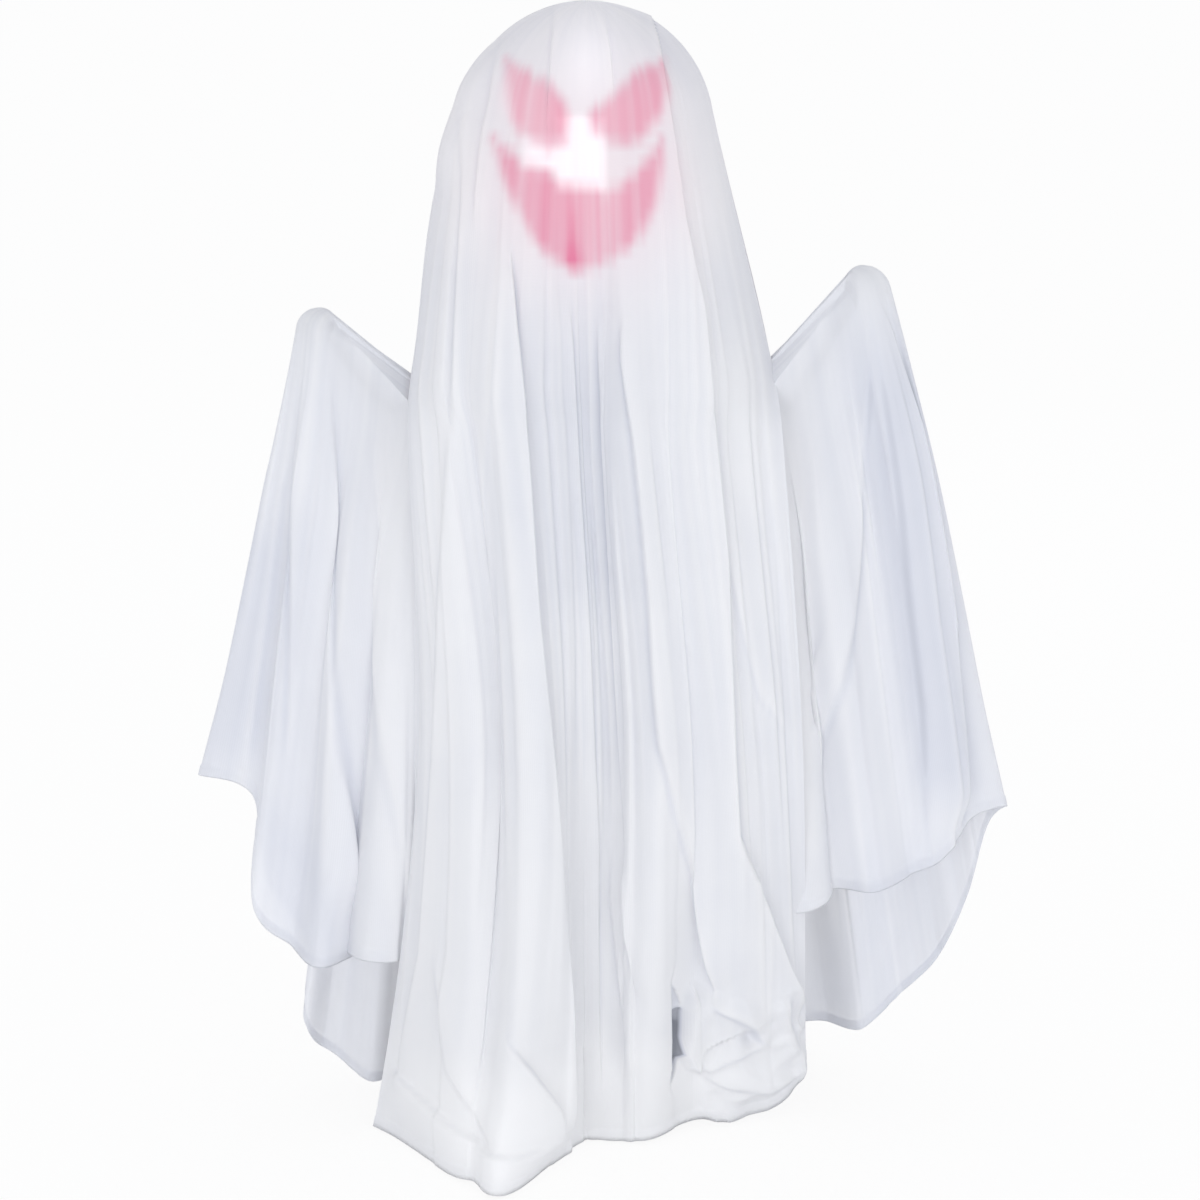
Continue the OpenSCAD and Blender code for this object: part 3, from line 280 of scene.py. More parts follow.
LEFT_THIN_SHADE_LIGHT = (
    (((-330, 700), (-352, 520), (-385, 380)), 40, 2.2),
    (((-335, 380), (-310, 260), (-290, 180)), 36, 2.0),
    (((-205, 800), (-200, 500), (-195, 250)), 26, -1.5),
)
RIGHT_THIN_SHADE_LIGHT = (
    (((303, 880), (335, 700), (365, 520), (392, 360)), 36, 3.4),
    (((372, 330), (350, 200), (310, 60)), 70, 2.4),
    (((200, 800), (215, 600), (225, 300)), 26, -1.7),
)

# Outlines of the face's light, painted on the cloth: x z in millimetres
LEFT_EYE = (
    (-83, 1149), (-39, 1130), (-21, 1110), (-17, 1094), (-19, 1069),
    (-38, 1062), (-66, 1075), (-75, 1092), (-79, 1115),
)
RIGHT_EYE = (
    (53, 1142), (77, 1146), (81, 1122), (76, 1100), (62, 1081),
    (46, 1067), (26, 1068), (4, 1085), (3, 1099), (25, 1117),
)
GRIN = (
    (-95, 1073), (-63, 1048), (-40, 1043), (-25, 1029), (3, 1026), (19, 1022),
    (36, 1029), (57, 1048), (76, 1071), (76, 1048), (70, 1010), (55, 977),
    (26, 952), (-9, 940), (-28, 948), (-55, 975), (-74, 1010), (-88, 1041),
)

# Strength of each outline's painted pink light, and the painted white of the lamp: left, right, low and
# high in millimetres
PINK_SHAPES = ((LEFT_EYE, 0.50), (RIGHT_EYE, 0.63), (GRIN, 0.69))
LAMP_BLOCKS = ((-30, 20, 1024, 1096), (-64, -20, 1040, 1072))

# Gathers of the cloth: share, width and length in metres
GATHERS = ((0.5, 0.017, 0.8), (0.3, 0.007, 0.5), (0.2, 0.0035, 0.35))

# Lamps of the stage: place and size in metres
LAMPS = {
    "key": ((-1.1, -4.0, 0.6), 1.8),
    "fill": ((2.0, -3.3, 0.4), 2.0),
    "back": ((1.0, 3.2, 2.4), 2.0),
}
LAMP_AIM = (0, 0, 0.5)


# Settings
class GhostCloth(PropertyGroup):
    """Sizes and colours of the cloth"""

    depth: FloatProperty(
        name="Fold depth", description="Depth of the small folds in millimetres", default=4.0, min=0, max=12
    )
    hem: FloatProperty(name="Hem", description="Width of the turned hem", default=12 * MM, unit="LENGTH")
    weave: FloatProperty(
        name="Weave pitch", description="Distance between two threads", default=1.4 * MM, unit="LENGTH"
    )
    white: FloatVectorProperty(
        name="Cloth", description="Colour of the cloth", default=(0.93, 0.935, 0.96),
        subtype="COLOR", size=3,
    )
    pink: FloatVectorProperty(
        name="Face light", description="Colour of the lit face on the cloth", default=(0.775, 0.24, 0.381),
        subtype="COLOR", size=3,
    )


class GhostStage(PropertyGroup):
    """Camera and light"""

    distance: FloatProperty(
        name="Distance", description="Camera distance in front of the mast", default=3.6, unit="LENGTH"
    )
    height: FloatProperty(
        name="Height", description="Camera height above the floor", default=1.45, unit="LENGTH"
    )
    aside: FloatProperty(
        name="Aside", description="Camera offset to the right", default=0.0137, unit="LENGTH"
    )
    pitch: FloatProperty(
        name="Pitch", description="Downward tilt of the camera", default=math.radians(13.81),
        subtype="ANGLE",
    )
    lens: FloatProperty(name="Lens", description="Focal length in millimetres", default=103.4)
    key: FloatProperty(name="Key light", description="Power of the key light in watts", default=33.0)
    fill: FloatProperty(name="Fill light", description="Power of the fill light in watts", default=19.0)
    back: FloatProperty(name="Back light", description="Power of the light behind in watts", default=8.0)
    sky: FloatProperty(name="Room light", description="Strength of the light all round", default=0.88)


# Grid helpers
def ease(x):
    """A smooth step from 0 to 1."""
    t = np.clip(x, 0, 1)
    return t * t * (3 - 2 * t)


def bell(x, middle, width):
    """1 at the middle, falling to 0 on both sides."""
    return np.exp(-(((x - middle) / width) ** 2))


def hanging(z):
    """0 on the crown and 1 where the cloth hangs free of the head."""
    return ease((FREE_Z - z) / FREE_RUN)


def unit(vectors):
    """Vectors of a grid, each made 1 long."""
    return vectors / np.maximum(np.linalg.norm(vectors, axis=2, keepdims=True), 1e-12)


def fold_curves(folds, per):
    """Smooth curves between the fold lines, one row of values per mesh column."""
    lines = np.array(folds, float)
    u = np.linspace(0, len(lines) - 1, (len(lines) - 1) * per + 1)
    i = np.minimum(u.astype(int), len(lines) - 2)
    t = (u - i)[:, None]
    a = lines[np.maximum(i - 1, 0)]
    b = lines[i]
    c = lines[i + 1]
    d = lines[np.minimum(i + 2, len(lines) - 1)]
    return 0.5 * (2 * b + (c - a) * t + (2 * a - 5 * b + 4 * c - d) * t**2 + (3 * b - a - 3 * c + d) * t**3)


def egg(angle, off):
    """Radius and height of the head's outline at an angle in degrees, moved outwards by off."""
    a = np.radians(angle)
    up = np.where(np.asarray(angle) >= 0, HEAD_UP, HEAD_LOW)
    nr = np.cos(a) / HEAD_R
    nz = np.sin(a) / up
    size = np.hypot(nr, nz)
    return HEAD_R * np.cos(a) + off * nr / size, HEAD_Z + up * np.sin(a) + off * nz / size


def keep_out(points):
    """Keeps cloth near the floor outside the base housing."""
    least = BASE_R + BASE_ROOM + CLOTH_T
    r = np.hypot(points[..., 0], points[..., 1])
    near = ease((DECK_Z + 70 * MM - points[..., 2]) / (60 * MM))
    push = 1 + near * np.maximum(least / np.maximum(r, 1e-6) - 1, 0)
    points[..., :2] *= push[..., None]
    return points


def panel_grid(folds, rows, per):
    """Points of a body panel, from the crown at row value 0 to the hem at 1."""
    f = fold_curves(folds, per)
    way = np.stack([np.cos(np.radians(f[:, 0])), np.sin(np.radians(f[:, 0]))], 1)
    leave_r, leave_z = egg(LEAVE_A, CLOTH_OFF)
    hem_z = f[:, 9] * MM
    knots = np.stack([leave_r * way] + [f[:, k:k + 2] * MM for k in (1, 3, 5, 7)])
    levels = [np.full(len(f), z) for z in (leave_z, EAR_Z, SHOULDER_Z, MID_Z)]
    heights = np.stack([*levels, hem_z])[..., None]
    slopes = np.empty_like(knots)
    slopes[0] = -(0.22 + 0.26 * np.maximum(0, -way[:, :1]) ** 3) * way
    slopes[1:4] = (knots[2:] - knots[:-2]) / (heights[2:] - heights[:-2])
    slopes[4] = 1.5 * (knots[4] - knots[3]) / (heights[4] - heights[3])
    grid = np.zeros((len(rows), len(f), 3))
    column = np.arange(len(f))
    for i, v in enumerate(rows):
        if v < CROWN_SHARE:
            r, z = egg(CROWN_A + (LEAVE_A - CROWN_A) * v / CROWN_SHARE, CLOTH_OFF)
            grid[i, :, :2] = r * way
            grid[i, :, 2] = z
            continue
        z = leave_z + (hem_z - leave_z) * (v - CROWN_SHARE) / (1 - CROWN_SHARE)
        k = (z <= EAR_Z).astype(int) + (z <= SHOULDER_Z) + (z <= MID_Z)
        h = heights[k + 1, column] - heights[k, column]
        t = (z[:, None] - heights[k, column]) / h
        q = knots[k, column] * (2 * t**3 - 3 * t**2 + 1) + slopes[k, column] * h * (t**3 - 2 * t**2 + t)
        q = q + knots[k + 1, column] * (3 * t**2 - 2 * t**3) + slopes[k + 1, column] * h * (t**3 - t**2)
        front = way[:, 1] < 0
        q[:, 1] = np.where(front, np.minimum(q[:, 1], -SEAM_GAP), np.maximum(q[:, 1], SEAM_GAP))
        grid[i, :, :2] = q
        grid[i, :, 2] = np.maximum(z, CLOTH_T + FLOOR_GAP)
    return keep_out(grid)


def hand_point(side):
    """Centre of the hand's ball."""
    low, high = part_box("left_hand" if side < 0 else "right_hand")
    return np.array((low + high) / 2)


def over_hand(points, hand, clear):
    """Lifts cloth that would cut the ball of a hand."""
    away = np.hypot(points[..., 0] - hand[0], points[..., 1] - hand[1])
    lift = hand[2] + np.sqrt(np.maximum(clear**2 - away**2, 0))
    points[..., 2] = np.where(away < clear, np.maximum(points[..., 2], lift), points[..., 2])
    return points


def wing_grid(folds, side, rows, per):
    """Points of a wing, along the arm for row values under 0 and down to the hem at 1."""
    lines = fold_curves(folds, per)
    start_y = lines[:, 0] * MM
    along = lines[:, 1]
    hand = hand_point(side)
    reach = abs(hand[0])
    clear = HAND_R + CLOTH_T + HAND_ROOM
    roof = ARM_Z + (ARM_R + CLOTH_T + CLOTH_GAP) * math.sqrt(1 + TENT**2)
    slope = np.where(start_y < 0, FRONT_TENT, TENT) * abs(start_y)
    start = np.stack([np.full(len(lines), side * WING_ROOT_X), start_y, roof - slope], 1)
    bow = WING_BOW * ease(along * 4) * (1 - ease(along * 8 - 7))
    lift = np.sign(along) * np.abs(along) ** 1.25
    crest_z = roof + (hand[2] + clear - roof) * lift - slope * (1 - along)
    top_x = side * (WING_ROOT_X + (reach - WING_ROOT_X) * along)
    top_y = start_y * (1 - along) + np.sign(start_y) * bow
    top = np.stack([top_x, top_y, crest_z], 1)
    top = over_hand(top, hand, clear)
    hem = np.stack([side * reach * lines[:, 2], lines[:, 3] * MM, lines[:, 4] * MM], 1)
    turn = np.radians(90 * np.sqrt(np.clip((1 - along) * 4, 0, 1)))
    grid = np.zeros((len(rows), len(lines), 3))
    for i, v in enumerate(rows):
        if v < 0:
            grid[i] = over_hand(start + (top - start) * (1 + v), hand, clear)
            continue
        drop = (top[:, 2] - hem[:, 2]) * v
        bend = np.clip(drop / clear, 0, 1)
        push = clear * np.sqrt(1 - (1 - bend) ** 2) * (1 - v) * ease(3.2 * along - 2.1)
        go = v ** FLARE[side]
        grid[i, :, 0] = top[:, 0] + (hem[:, 0] - top[:, 0]) * go + side * push * np.cos(turn)
        grid[i, :, 1] = top[:, 1] + (hem[:, 1] - top[:, 1]) * go + np.sign(start_y) * push * np.sin(turn)
        grid[i, :, 2] = top[:, 2] - drop
    return keep_out(grid)


def normals(grid):
    """Unit normals of a grid of points."""
    return unit(np.cross(np.gradient(grid, axis=1), np.gradient(grid, axis=0)))


def tangents(grid):
    """Unit vectors across a grid of points."""
    return unit(np.gradient(grid, axis=1))


def lattice(ix, iy, seed):
    """Scattered fixed numbers from -1 to 1 for whole steps."""
    h = np.sin(ix * 127.1 + iy * 311.7 + seed * 74.7) * 43758.5453
    return 2 * (h - np.floor(h)) - 1


def drift(x, y, seed):
    """Smooth noise from -1 to 1."""
    ix = np.floor(x)
    iy = np.floor(y)
    tx = ease(x - ix)
    ty = ease(y - iy)
    low = lattice(ix, iy, seed) * (1 - tx) + lattice(ix + 1, iy, seed) * tx
    high = lattice(ix, iy + 1, seed) * (1 - tx) + lattice(ix + 1, iy + 1, seed) * tx
    return low * (1 - ty) + high * ty


def pleats(across, down, seed):
    """Shallow folds that run down the cloth, wander and fade."""
    wander = across + 0.005 * drift(across / 0.11, down / 0.4, seed + 5)
    broad = 1 - 2 * np.abs(drift(wander / 0.042, down / 0.75, seed))
    fine = 1 - 2 * np.abs(drift(wander / 0.019, down / 0.5, seed + 1))
    hair = drift(wander / 0.008, down / 0.4, seed + 2)
    return 0.55 * broad + 0.33 * fine + 0.12 * hair


def chance(index, seed):
    """A fixed number from 0 to 1 for an index."""
    return 0.5 + 0.5 * float(lattice(index, 0.37 * index + 1, seed))


def ridge(off, left, right):
    """Height across a fold that is soft on one side and steep on the other."""
    return np.exp(-((off / np.where(off < 0, left, right)) ** 2))


def small_folds(across, down, seed, count):
    """Height, lean and painted highlights on the crests of many long folds, each steep on one side."""
    lift = np.zeros(across.shape)
    lean = np.zeros(across.shape)
    painted_fold_light = np.zeros(across.shape)
    wide = across.max()
    long = down.max()
    for i in range(count):
        place_at, soft, steep, way, start, end, tall = (chance(7 * i + k, seed) for k in range(7))
        path = wide * (i + place_at) / count + 0.007 * drift(down / 0.45, 0 * down + i, seed + 1)
        side = 1 if way < 0.62 else -1
        off = side * (across - path)
        run = ease((down - 0.45 * long * start) / 0.16) * ease((long * (0.55 + 0.6 * end) - down) / 0.2)
        high = (0.8 + 3.4 * tall**2) * MM
        shape = high * run * ridge(off, (7 + 16 * soft) * MM, (2.2 + 2 * steep) * MM)
        lift += shape
        lean += 0.5 * side * shape
        painted_fold_light = np.maximum(painted_fold_light, (0.35 + 0.65 * tall) * run * ridge(off, 4 * MM, 2.5 * MM))
    return lift, lean, painted_fold_light


def spread(grid, axis):
    """Distance along each line of a grid."""
    step = np.linalg.norm(np.diff(grid, axis=axis), axis=2)
    pad = np.zeros_like(np.take(step, [0], axis=axis))
    return np.concatenate([pad, np.cumsum(step, axis=axis)], axis=axis)


def turn_hem(grid, uv, width, inward):
    """Adds a hem that is turned back behind the last row."""
    down = spread(grid, 0)
    left = (down[-1] - down)[::-1]
    rows = [grid]
    uvs = [uv]
    for share, gap in TURNED_HEM:
        shifted = (grid + normals(grid) * inward * gap * MM)[::-1]
        back = np.empty_like(grid[:1])
        for j in range(grid.shape[1]):
            for k in range(3):
                back[0, j, k] = np.interp(share * width, left[:, j], shifted[:, j, k])
        rows.append(back)
        uvs.append(uv[-1:] + (0, share * width))
    return np.concatenate(rows), np.concatenate(uvs)


def sheet_object(name, grid, uv, paints, flip):
    """Makes a mesh object from a grid of points."""
    rows, cols = grid.shape[:2]
    index = np.arange(rows * cols).reshape(rows, cols)
    quads = np.stack([index[:-1, :-1], index[1:, :-1], index[1:, 1:], index[:-1, 1:]], -1).reshape(-1, 4)
    quads = quads[:, ::-1] if flip else quads
    mesh = bpy.data.meshes.new(name)
    mesh.from_pydata(grid.reshape(-1, 3).tolist(), [], quads.tolist())
    layer = mesh.uv_layers.new(name="Cloth")
    layer.data.foreach_set("uv", uv.reshape(-1, 2)[quads.reshape(-1)].astype(np.float32).ravel())
    for label, values in paints.items():
        hem = np.repeat(values[-1:], rows - len(values), 0)
        whole = np.concatenate([values, hem]).astype(np.float32)
        mesh.attributes.new(label, "FLOAT", "POINT").data.foreach_set("value", whole.ravel())
    mesh.shade_smooth()
    mesh.update()
    piece = bpy.data.objects.new(name, mesh)
    bpy.context.scene.collection.objects.link(piece)
    return piece


# Face light on the cloth
def from_segment(a, b, x, z):
    """Offsets in x and z from the nearest point of a segment, and that point's share of the way."""
    ab = b - a
    t = np.clip(((x - a[0]) * ab[0] + (z - a[1]) * ab[1]) / (ab @ ab), 0, 1)
    return x - a[0] - t * ab[0], z - a[1] - t * ab[1], t


def inside_by(outline, x, z):
    """Distance inside an outline, negative outside, in metres."""
    pts = np.array(outline, float) * MM
    best = np.full(x.shape, 1e9)
    odd = np.zeros(x.shape, bool)
    for a, b in zip(pts, np.roll(pts, -1, 0)):
        dx, dz, _ = from_segment(a, b, x, z)
        best = np.minimum(best, np.hypot(dx, dz))
        run, rise = b - a
        if rise != 0:
            odd ^= ((a[1] > z) != (b[1] > z)) & (x < (z - a[1]) / rise * run + a[0])
    return np.where(odd, best, -best)


def block(x, z, left, right, low, high):
    """1 inside a rectangle given in millimetres, with soft edges."""
    wide = ease((x - left * MM) / SOFT_EDGE + 0.5) * ease((right * MM - x) / SOFT_EDGE + 0.5)
    return wide * ease((z - low * MM) / SOFT_EDGE + 0.5) * ease((high * MM - z) / SOFT_EDGE + 0.5)


def face_light(grid, across, down):
    """Painted light of the face on the front panel: pink of the lit eyes and grin, pale haze and white of
    the lamp, for each point.
    """
    x = grid[..., 0]
    z = grid[..., 2]
    streak = 0.6 * drift(across / 0.012, down / 0.6, 41) + 0.4 * drift(across / 0.005, down / 0.35, 42)
    pink = np.zeros(x.shape)
    for outline, strength in PINK_SHAPES:
        edge = inside_by(outline, x, z) + 3 * MM * streak
        pink = np.maximum(pink, strength * ease((edge + SOFT_EDGE) / (2 * SOFT_EDGE)))
    low = ease((0.985 - z) / 0.04)
    fold = bell(x, -0.0135, 0.0055 + 0.003 * low) * ease((1.03 - z) / 0.05) * (0.25 + 0.35 * low)
    pale = bell(x, 0.012, 0.018) * ease((1.05 - z) / 0.03)
    nook = bell(x, -0.027, 0.006) * ease((z - 1.06) / 0.02)
    pink = np.clip(pink * (0.96 + 0.28 * streak + fold - 0.26 * pale + 0.4 * nook), 0, 1)
    haze = bell(x, -0.004, 0.105) * bell(z, 1.045, 0.115)
    lamp = np.maximum.reduce([block(x, z, *edges) for edges in LAMP_BLOCKS])
    brow = bell(x, 0.002, 0.03) * bell(z, 1.15, 0.045)
    lamp = np.clip(lamp * (0.85 + 0.3 * streak) + 0.5 * brow, 0, 1)
    return pink, haze, lamp


# Node helpers
def feed(tree, sockets, values):
    """Links each socket to the socket given for it, or sets it to the value given."""
    for socket, value in zip(sockets, values):
        if isinstance(value, bpy.types.NodeSocket):
            tree.links.new(value, socket)
        else:
            socket.default_value = value


def place(tree, kind, **values):
    """A node with its settings and inputs. An underscore in an input's name stands for a space."""
    node = tree.nodes.new(kind)
    for key, value in values.items():
        label = key.replace("_", " ")
        if label in node.inputs:
            feed(tree, [node.inputs[label]], [value])
        else:
            setattr(node, key, value)
    return node


def math_node(tree, operation, *values):
    """A Math node fed by sockets or numbers."""
    node = place(tree, "ShaderNodeMath", operation=operation)
    feed(tree, node.inputs, values)
    return node.outputs[0]


def mix_colour(tree, factor, a, b):
    """A colour mix fed by sockets or values."""
    node = place(tree, "ShaderNodeMix", data_type="RGBA")
    feed(tree, (node.inputs[0], node.inputs[6], node.inputs[7]), (factor, a, b))
    return node.outputs[2]


def mix_shader(tree, share, a, b):
    """A mix of two shader nodes."""
    node = place(tree, "ShaderNodeMixShader")
    feed(tree, node.inputs, (share, a.outputs[0], b.outputs[0]))
    return node.outputs[0]


def noise_node(tree, vector, scale, detail=3.0, rough=0.5):
    """A noise from 0 to 1."""
    node = place(tree, "ShaderNodeTexNoise", Vector=vector, Scale=scale, Detail=detail, Roughness=rough)
    return node.outputs["Fac"]


def bump_node(tree, height, strength, distance):
    """A normal that follows a height."""
    node = place(tree, "ShaderNodeBump", Height=height, Strength=strength, Distance=distance)
    return node.outputs["Normal"]


def clean_material(name):
    """A material with an empty tree, and the socket for its surface."""
    material = bpy.data.materials.new(name)
    material.use_nodes = True
    tree = material.node_tree
    tree.nodes.clear()
    return material, tree, place(tree, "ShaderNodeOutputMaterial").inputs["Surface"]


def light_up(material, body, glow, strength):
    """Gives a surface a glow that isn't sampled as a lamp."""
    sockets = (body.inputs["Emission Color"], body.inputs["Emission Strength"])
    feed(material.node_tree, sockets, (glow, strength))
    material.cycles.emission_sampling = "NONE"


def new_group(name, inputs, outputs):
    """An empty shader group, the sockets that come in and the sockets that go out."""
    group = bpy.data.node_groups.new(name, "ShaderNodeTree")
    for label, kind, default in inputs:
        socket = group.interface.new_socket(label, in_out="INPUT", socket_type=kind)
        if default is not None:
            socket.default_value = default
    for label, kind in outputs:
        group.interface.new_socket(label, in_out="OUTPUT", socket_type=kind)
    start = place(group, "NodeGroupInput")
    end = place(group, "NodeGroupOutput")
    return group, start.outputs, end.inputs


# Shared effects
def weave_group():
    """Sheer plain weave: thread height, cover and a slow change of tone."""
    group, start, end = new_group(
        "Sheer weave",
        [("Vector", "NodeSocketVector", None), ("Pitch", "NodeSocketFloat", 1.4 * MM)],
        [("Height", "NodeSocketFloat"), ("Threads", "NodeSocketFloat"), ("Tone", "NodeSocketFloat")],
    )
    rate = math_node(group, "DIVIDE", 2 * math.pi, start["Pitch"])
    split = place(group, "ShaderNodeSeparateXYZ", Vector=start["Vector"])
    warp = math_node(group, "SINE", math_node(group, "MULTIPLY", split.outputs[0], rate))
    weft = math_node(group, "SINE", math_node(group, "MULTIPLY", split.outputs[1], rate))
    slub = noise_node(group, start["Vector"], 260.0, 2.0)
    height = math_node(group, "MULTIPLY_ADD", warp, weft, slub)
    threads = math_node(group, "MAXIMUM", warp, weft)
    tone = noise_node(group, start["Vector"], 14.0, 4.0)
    feed(group, end, (height, threads, tone))
    return group


def finish_group(name):
    """An empty group for a finish: scale, tones and roughness in, colour, roughness and height out."""
    return new_group(
        name,
        [
            ("Vector", "NodeSocketVector", None),
            ("Scale", "NodeSocketFloat", 900.0),
            ("Dark", "NodeSocketColor", (0.1, 0.1, 0.1, 1)),
            ("Light", "NodeSocketColor", (0.2, 0.2, 0.2, 1)),
            ("Rough", "NodeSocketFloat", 0.5),
        ],
        [("Color", "NodeSocketColor"), ("Roughness", "NodeSocketFloat"), ("Height", "NodeSocketFloat")],
    )


def grain_group():
    """Fine moulded grain: height, tone and roughness that change over the surface."""
    group, start, end = finish_group("Fine grain")
    fine = noise_node(group, start["Vector"], start["Scale"], 2.0)
    wear = noise_node(group, start["Vector"], 38.0, 6.0, 0.65)
    mask = math_node(group, "MULTIPLY", wear, fine)
    tone = mix_colour(group, wear, start["Dark"], start["Light"])
    rough = math_node(group, "MULTIPLY_ADD", mask, 0.3, start["Rough"])
    feed(group, end, (tone, rough, fine))
    return group


def drawn_group():
    """Drawn metal: long fine lines along Z with a few dull patches."""
    group, start, end = finish_group("Drawn metal")
    stretch = place(group, "ShaderNodeMapping", Vector=start["Vector"], Scale=(1.0, 1.0, 0.03))
    lines = noise_node(group, stretch.outputs["Vector"], start["Scale"])
    patch = noise_node(group, start["Vector"], 45.0, 5.0, 0.6)
    tone = mix_colour(group, lines, start["Dark"], start["Light"])
    rough = math_node(group, "MULTIPLY_ADD", patch, 0.25, start["Rough"])
    feed(group, end, (tone, rough, lines))
    return group


# Cloth finishes: cover of the thinnest cloth, cover that gathers add, share of light through, brightness,
# with the wings painted lighter than the panels
CLOTH_FINISHES = {
    "ghost_front": (0.94, 0.04, 0.16, 0.965),
    "ghost_back": (0.94, 0.04, 0.16, 0.965),
    "ghost_wing": (0.86, 0.10, 0.22, 1.015),
}

# Tones of the cloth: painted shade tint where it is thin or shaded, painted shade grey under sharp folds
# and in the floor slit, painted light white, the painted pink haze round the face and the two painted glows
THIN_AND_SHADE_TINT = (0.81, 0.83, 0.89)
PAINTED_SHADE_GREY = (0.45, 0.47, 0.53, 1)
PAINTED_LIGHT_WHITE = (0.99, 0.99, 1.0, 1)
HAZE_PINK = (0.92, 0.81, 0.845, 1)
LAMP_GLOW = (0.26, 0.25, 0.26, 1)
PINK_GLOW = (0.03, 0.006, 0.012, 1)
NO_GLOW = (0, 0, 0, 1)


def painted(tree, label):
    """A value that is painted on the points of the cloth."""
    return place(tree, "ShaderNodeAttribute", attribute_name=label).outputs["Fac"]


def lit_face(tree, colour, light):
    """The face's light painted into the cloth's colour, and the painted glow that the cloth gives off."""
    pink = painted(tree, "face_pink")
    haze = math_node(tree, "MULTIPLY", painted(tree, "face_haze"), 0.7)
    colour = mix_colour(tree, haze, colour, HAZE_PINK)
    colour = mix_colour(tree, pink, colour, (*light, 1))
    glow = mix_colour(tree, painted(tree, "face_lamp"), NO_GLOW, LAMP_GLOW)
    return colour, mix_colour(tree, pink, glow, PINK_GLOW)


def cloth_finish(name, settings, weave):
    """Sheer woven cloth with painted shade and light. The front one carries the face's painted pink light.
    """
    least, gain, share, painted_brightness = CLOTH_FINISHES[name]
    material, tree, surface = clean_material(name)
    where = place(tree, "ShaderNodeUVMap", uv_map="Cloth").outputs["UV"]
    threads = place(tree, "ShaderNodeGroup", node_tree=weave, Vector=where, Pitch=settings.weave).outputs
    # Painted light: each finish's brightness scales the cloth's white
    white = tuple(c * painted_brightness for c in settings.white) + (1,)
    shade = tuple(c * k for c, k in zip(white, THIN_AND_SHADE_TINT)) + (1,)
    layers_and_painted_light = painted(tree, "cover")
    gather_and_painted_light = math_node(tree, "MULTIPLY", layers_and_painted_light, 0.85)
    mottle_and_painted_light = math_node(tree, "MULTIPLY_ADD", threads["Tone"], 0.3, gather_and_painted_light)
    # Painted shade and light: the colour goes from the shaded tint to white with the painted value, plus a
    # slow random tone
    colour = mix_colour(tree, mottle_and_painted_light, shade, white)
    # Painted shade: dark grey where the painted value is under 0, under sharp folds and in the floor slit
    colour = mix_colour(tree, math_node(tree, "MULTIPLY", layers_and_painted_light, -1.0), colour, PAINTED_SHADE_GREY)
    # Painted light: near white where the painted value is over 1
    colour = mix_colour(tree, math_node(tree, "MULTIPLY_ADD", layers_and_painted_light, 2.8, -2.8), colour, PAINTED_LIGHT_WHITE)
    cover = math_node(tree, "MULTIPLY_ADD", threads["Threads"], 0.03, least)
    cover = math_node(tree, "MULTIPLY_ADD", layers_and_painted_light, gain, cover)
    # The cloth is also thinner where shade is painted, so the inside shows through a little
    cover = math_node(tree, "MULTIPLY_ADD", math_node(tree, "MINIMUM", layers_and_painted_light, 0.0), 0.32, cover)
    normal = bump_node(tree, threads["Height"], 0.25, 0.3 * MM)
    body = place(
        tree, "ShaderNodeBsdfPrincipled", Roughness=0.85, Specular_IOR_Level=0.15,
        Alpha=cover, Normal=normal,
    )
    if name == "ghost_front":
        colour, glow = lit_face(tree, colour, settings.pink)
        light_up(material, body, glow, 1.0)
    tree.links.new(colour, body.inputs["Base Color"])
    through = place(tree, "ShaderNodeBsdfTranslucent", Color=colour)
    tree.links.new(mix_shader(tree, share, body, through), surface)
    return material


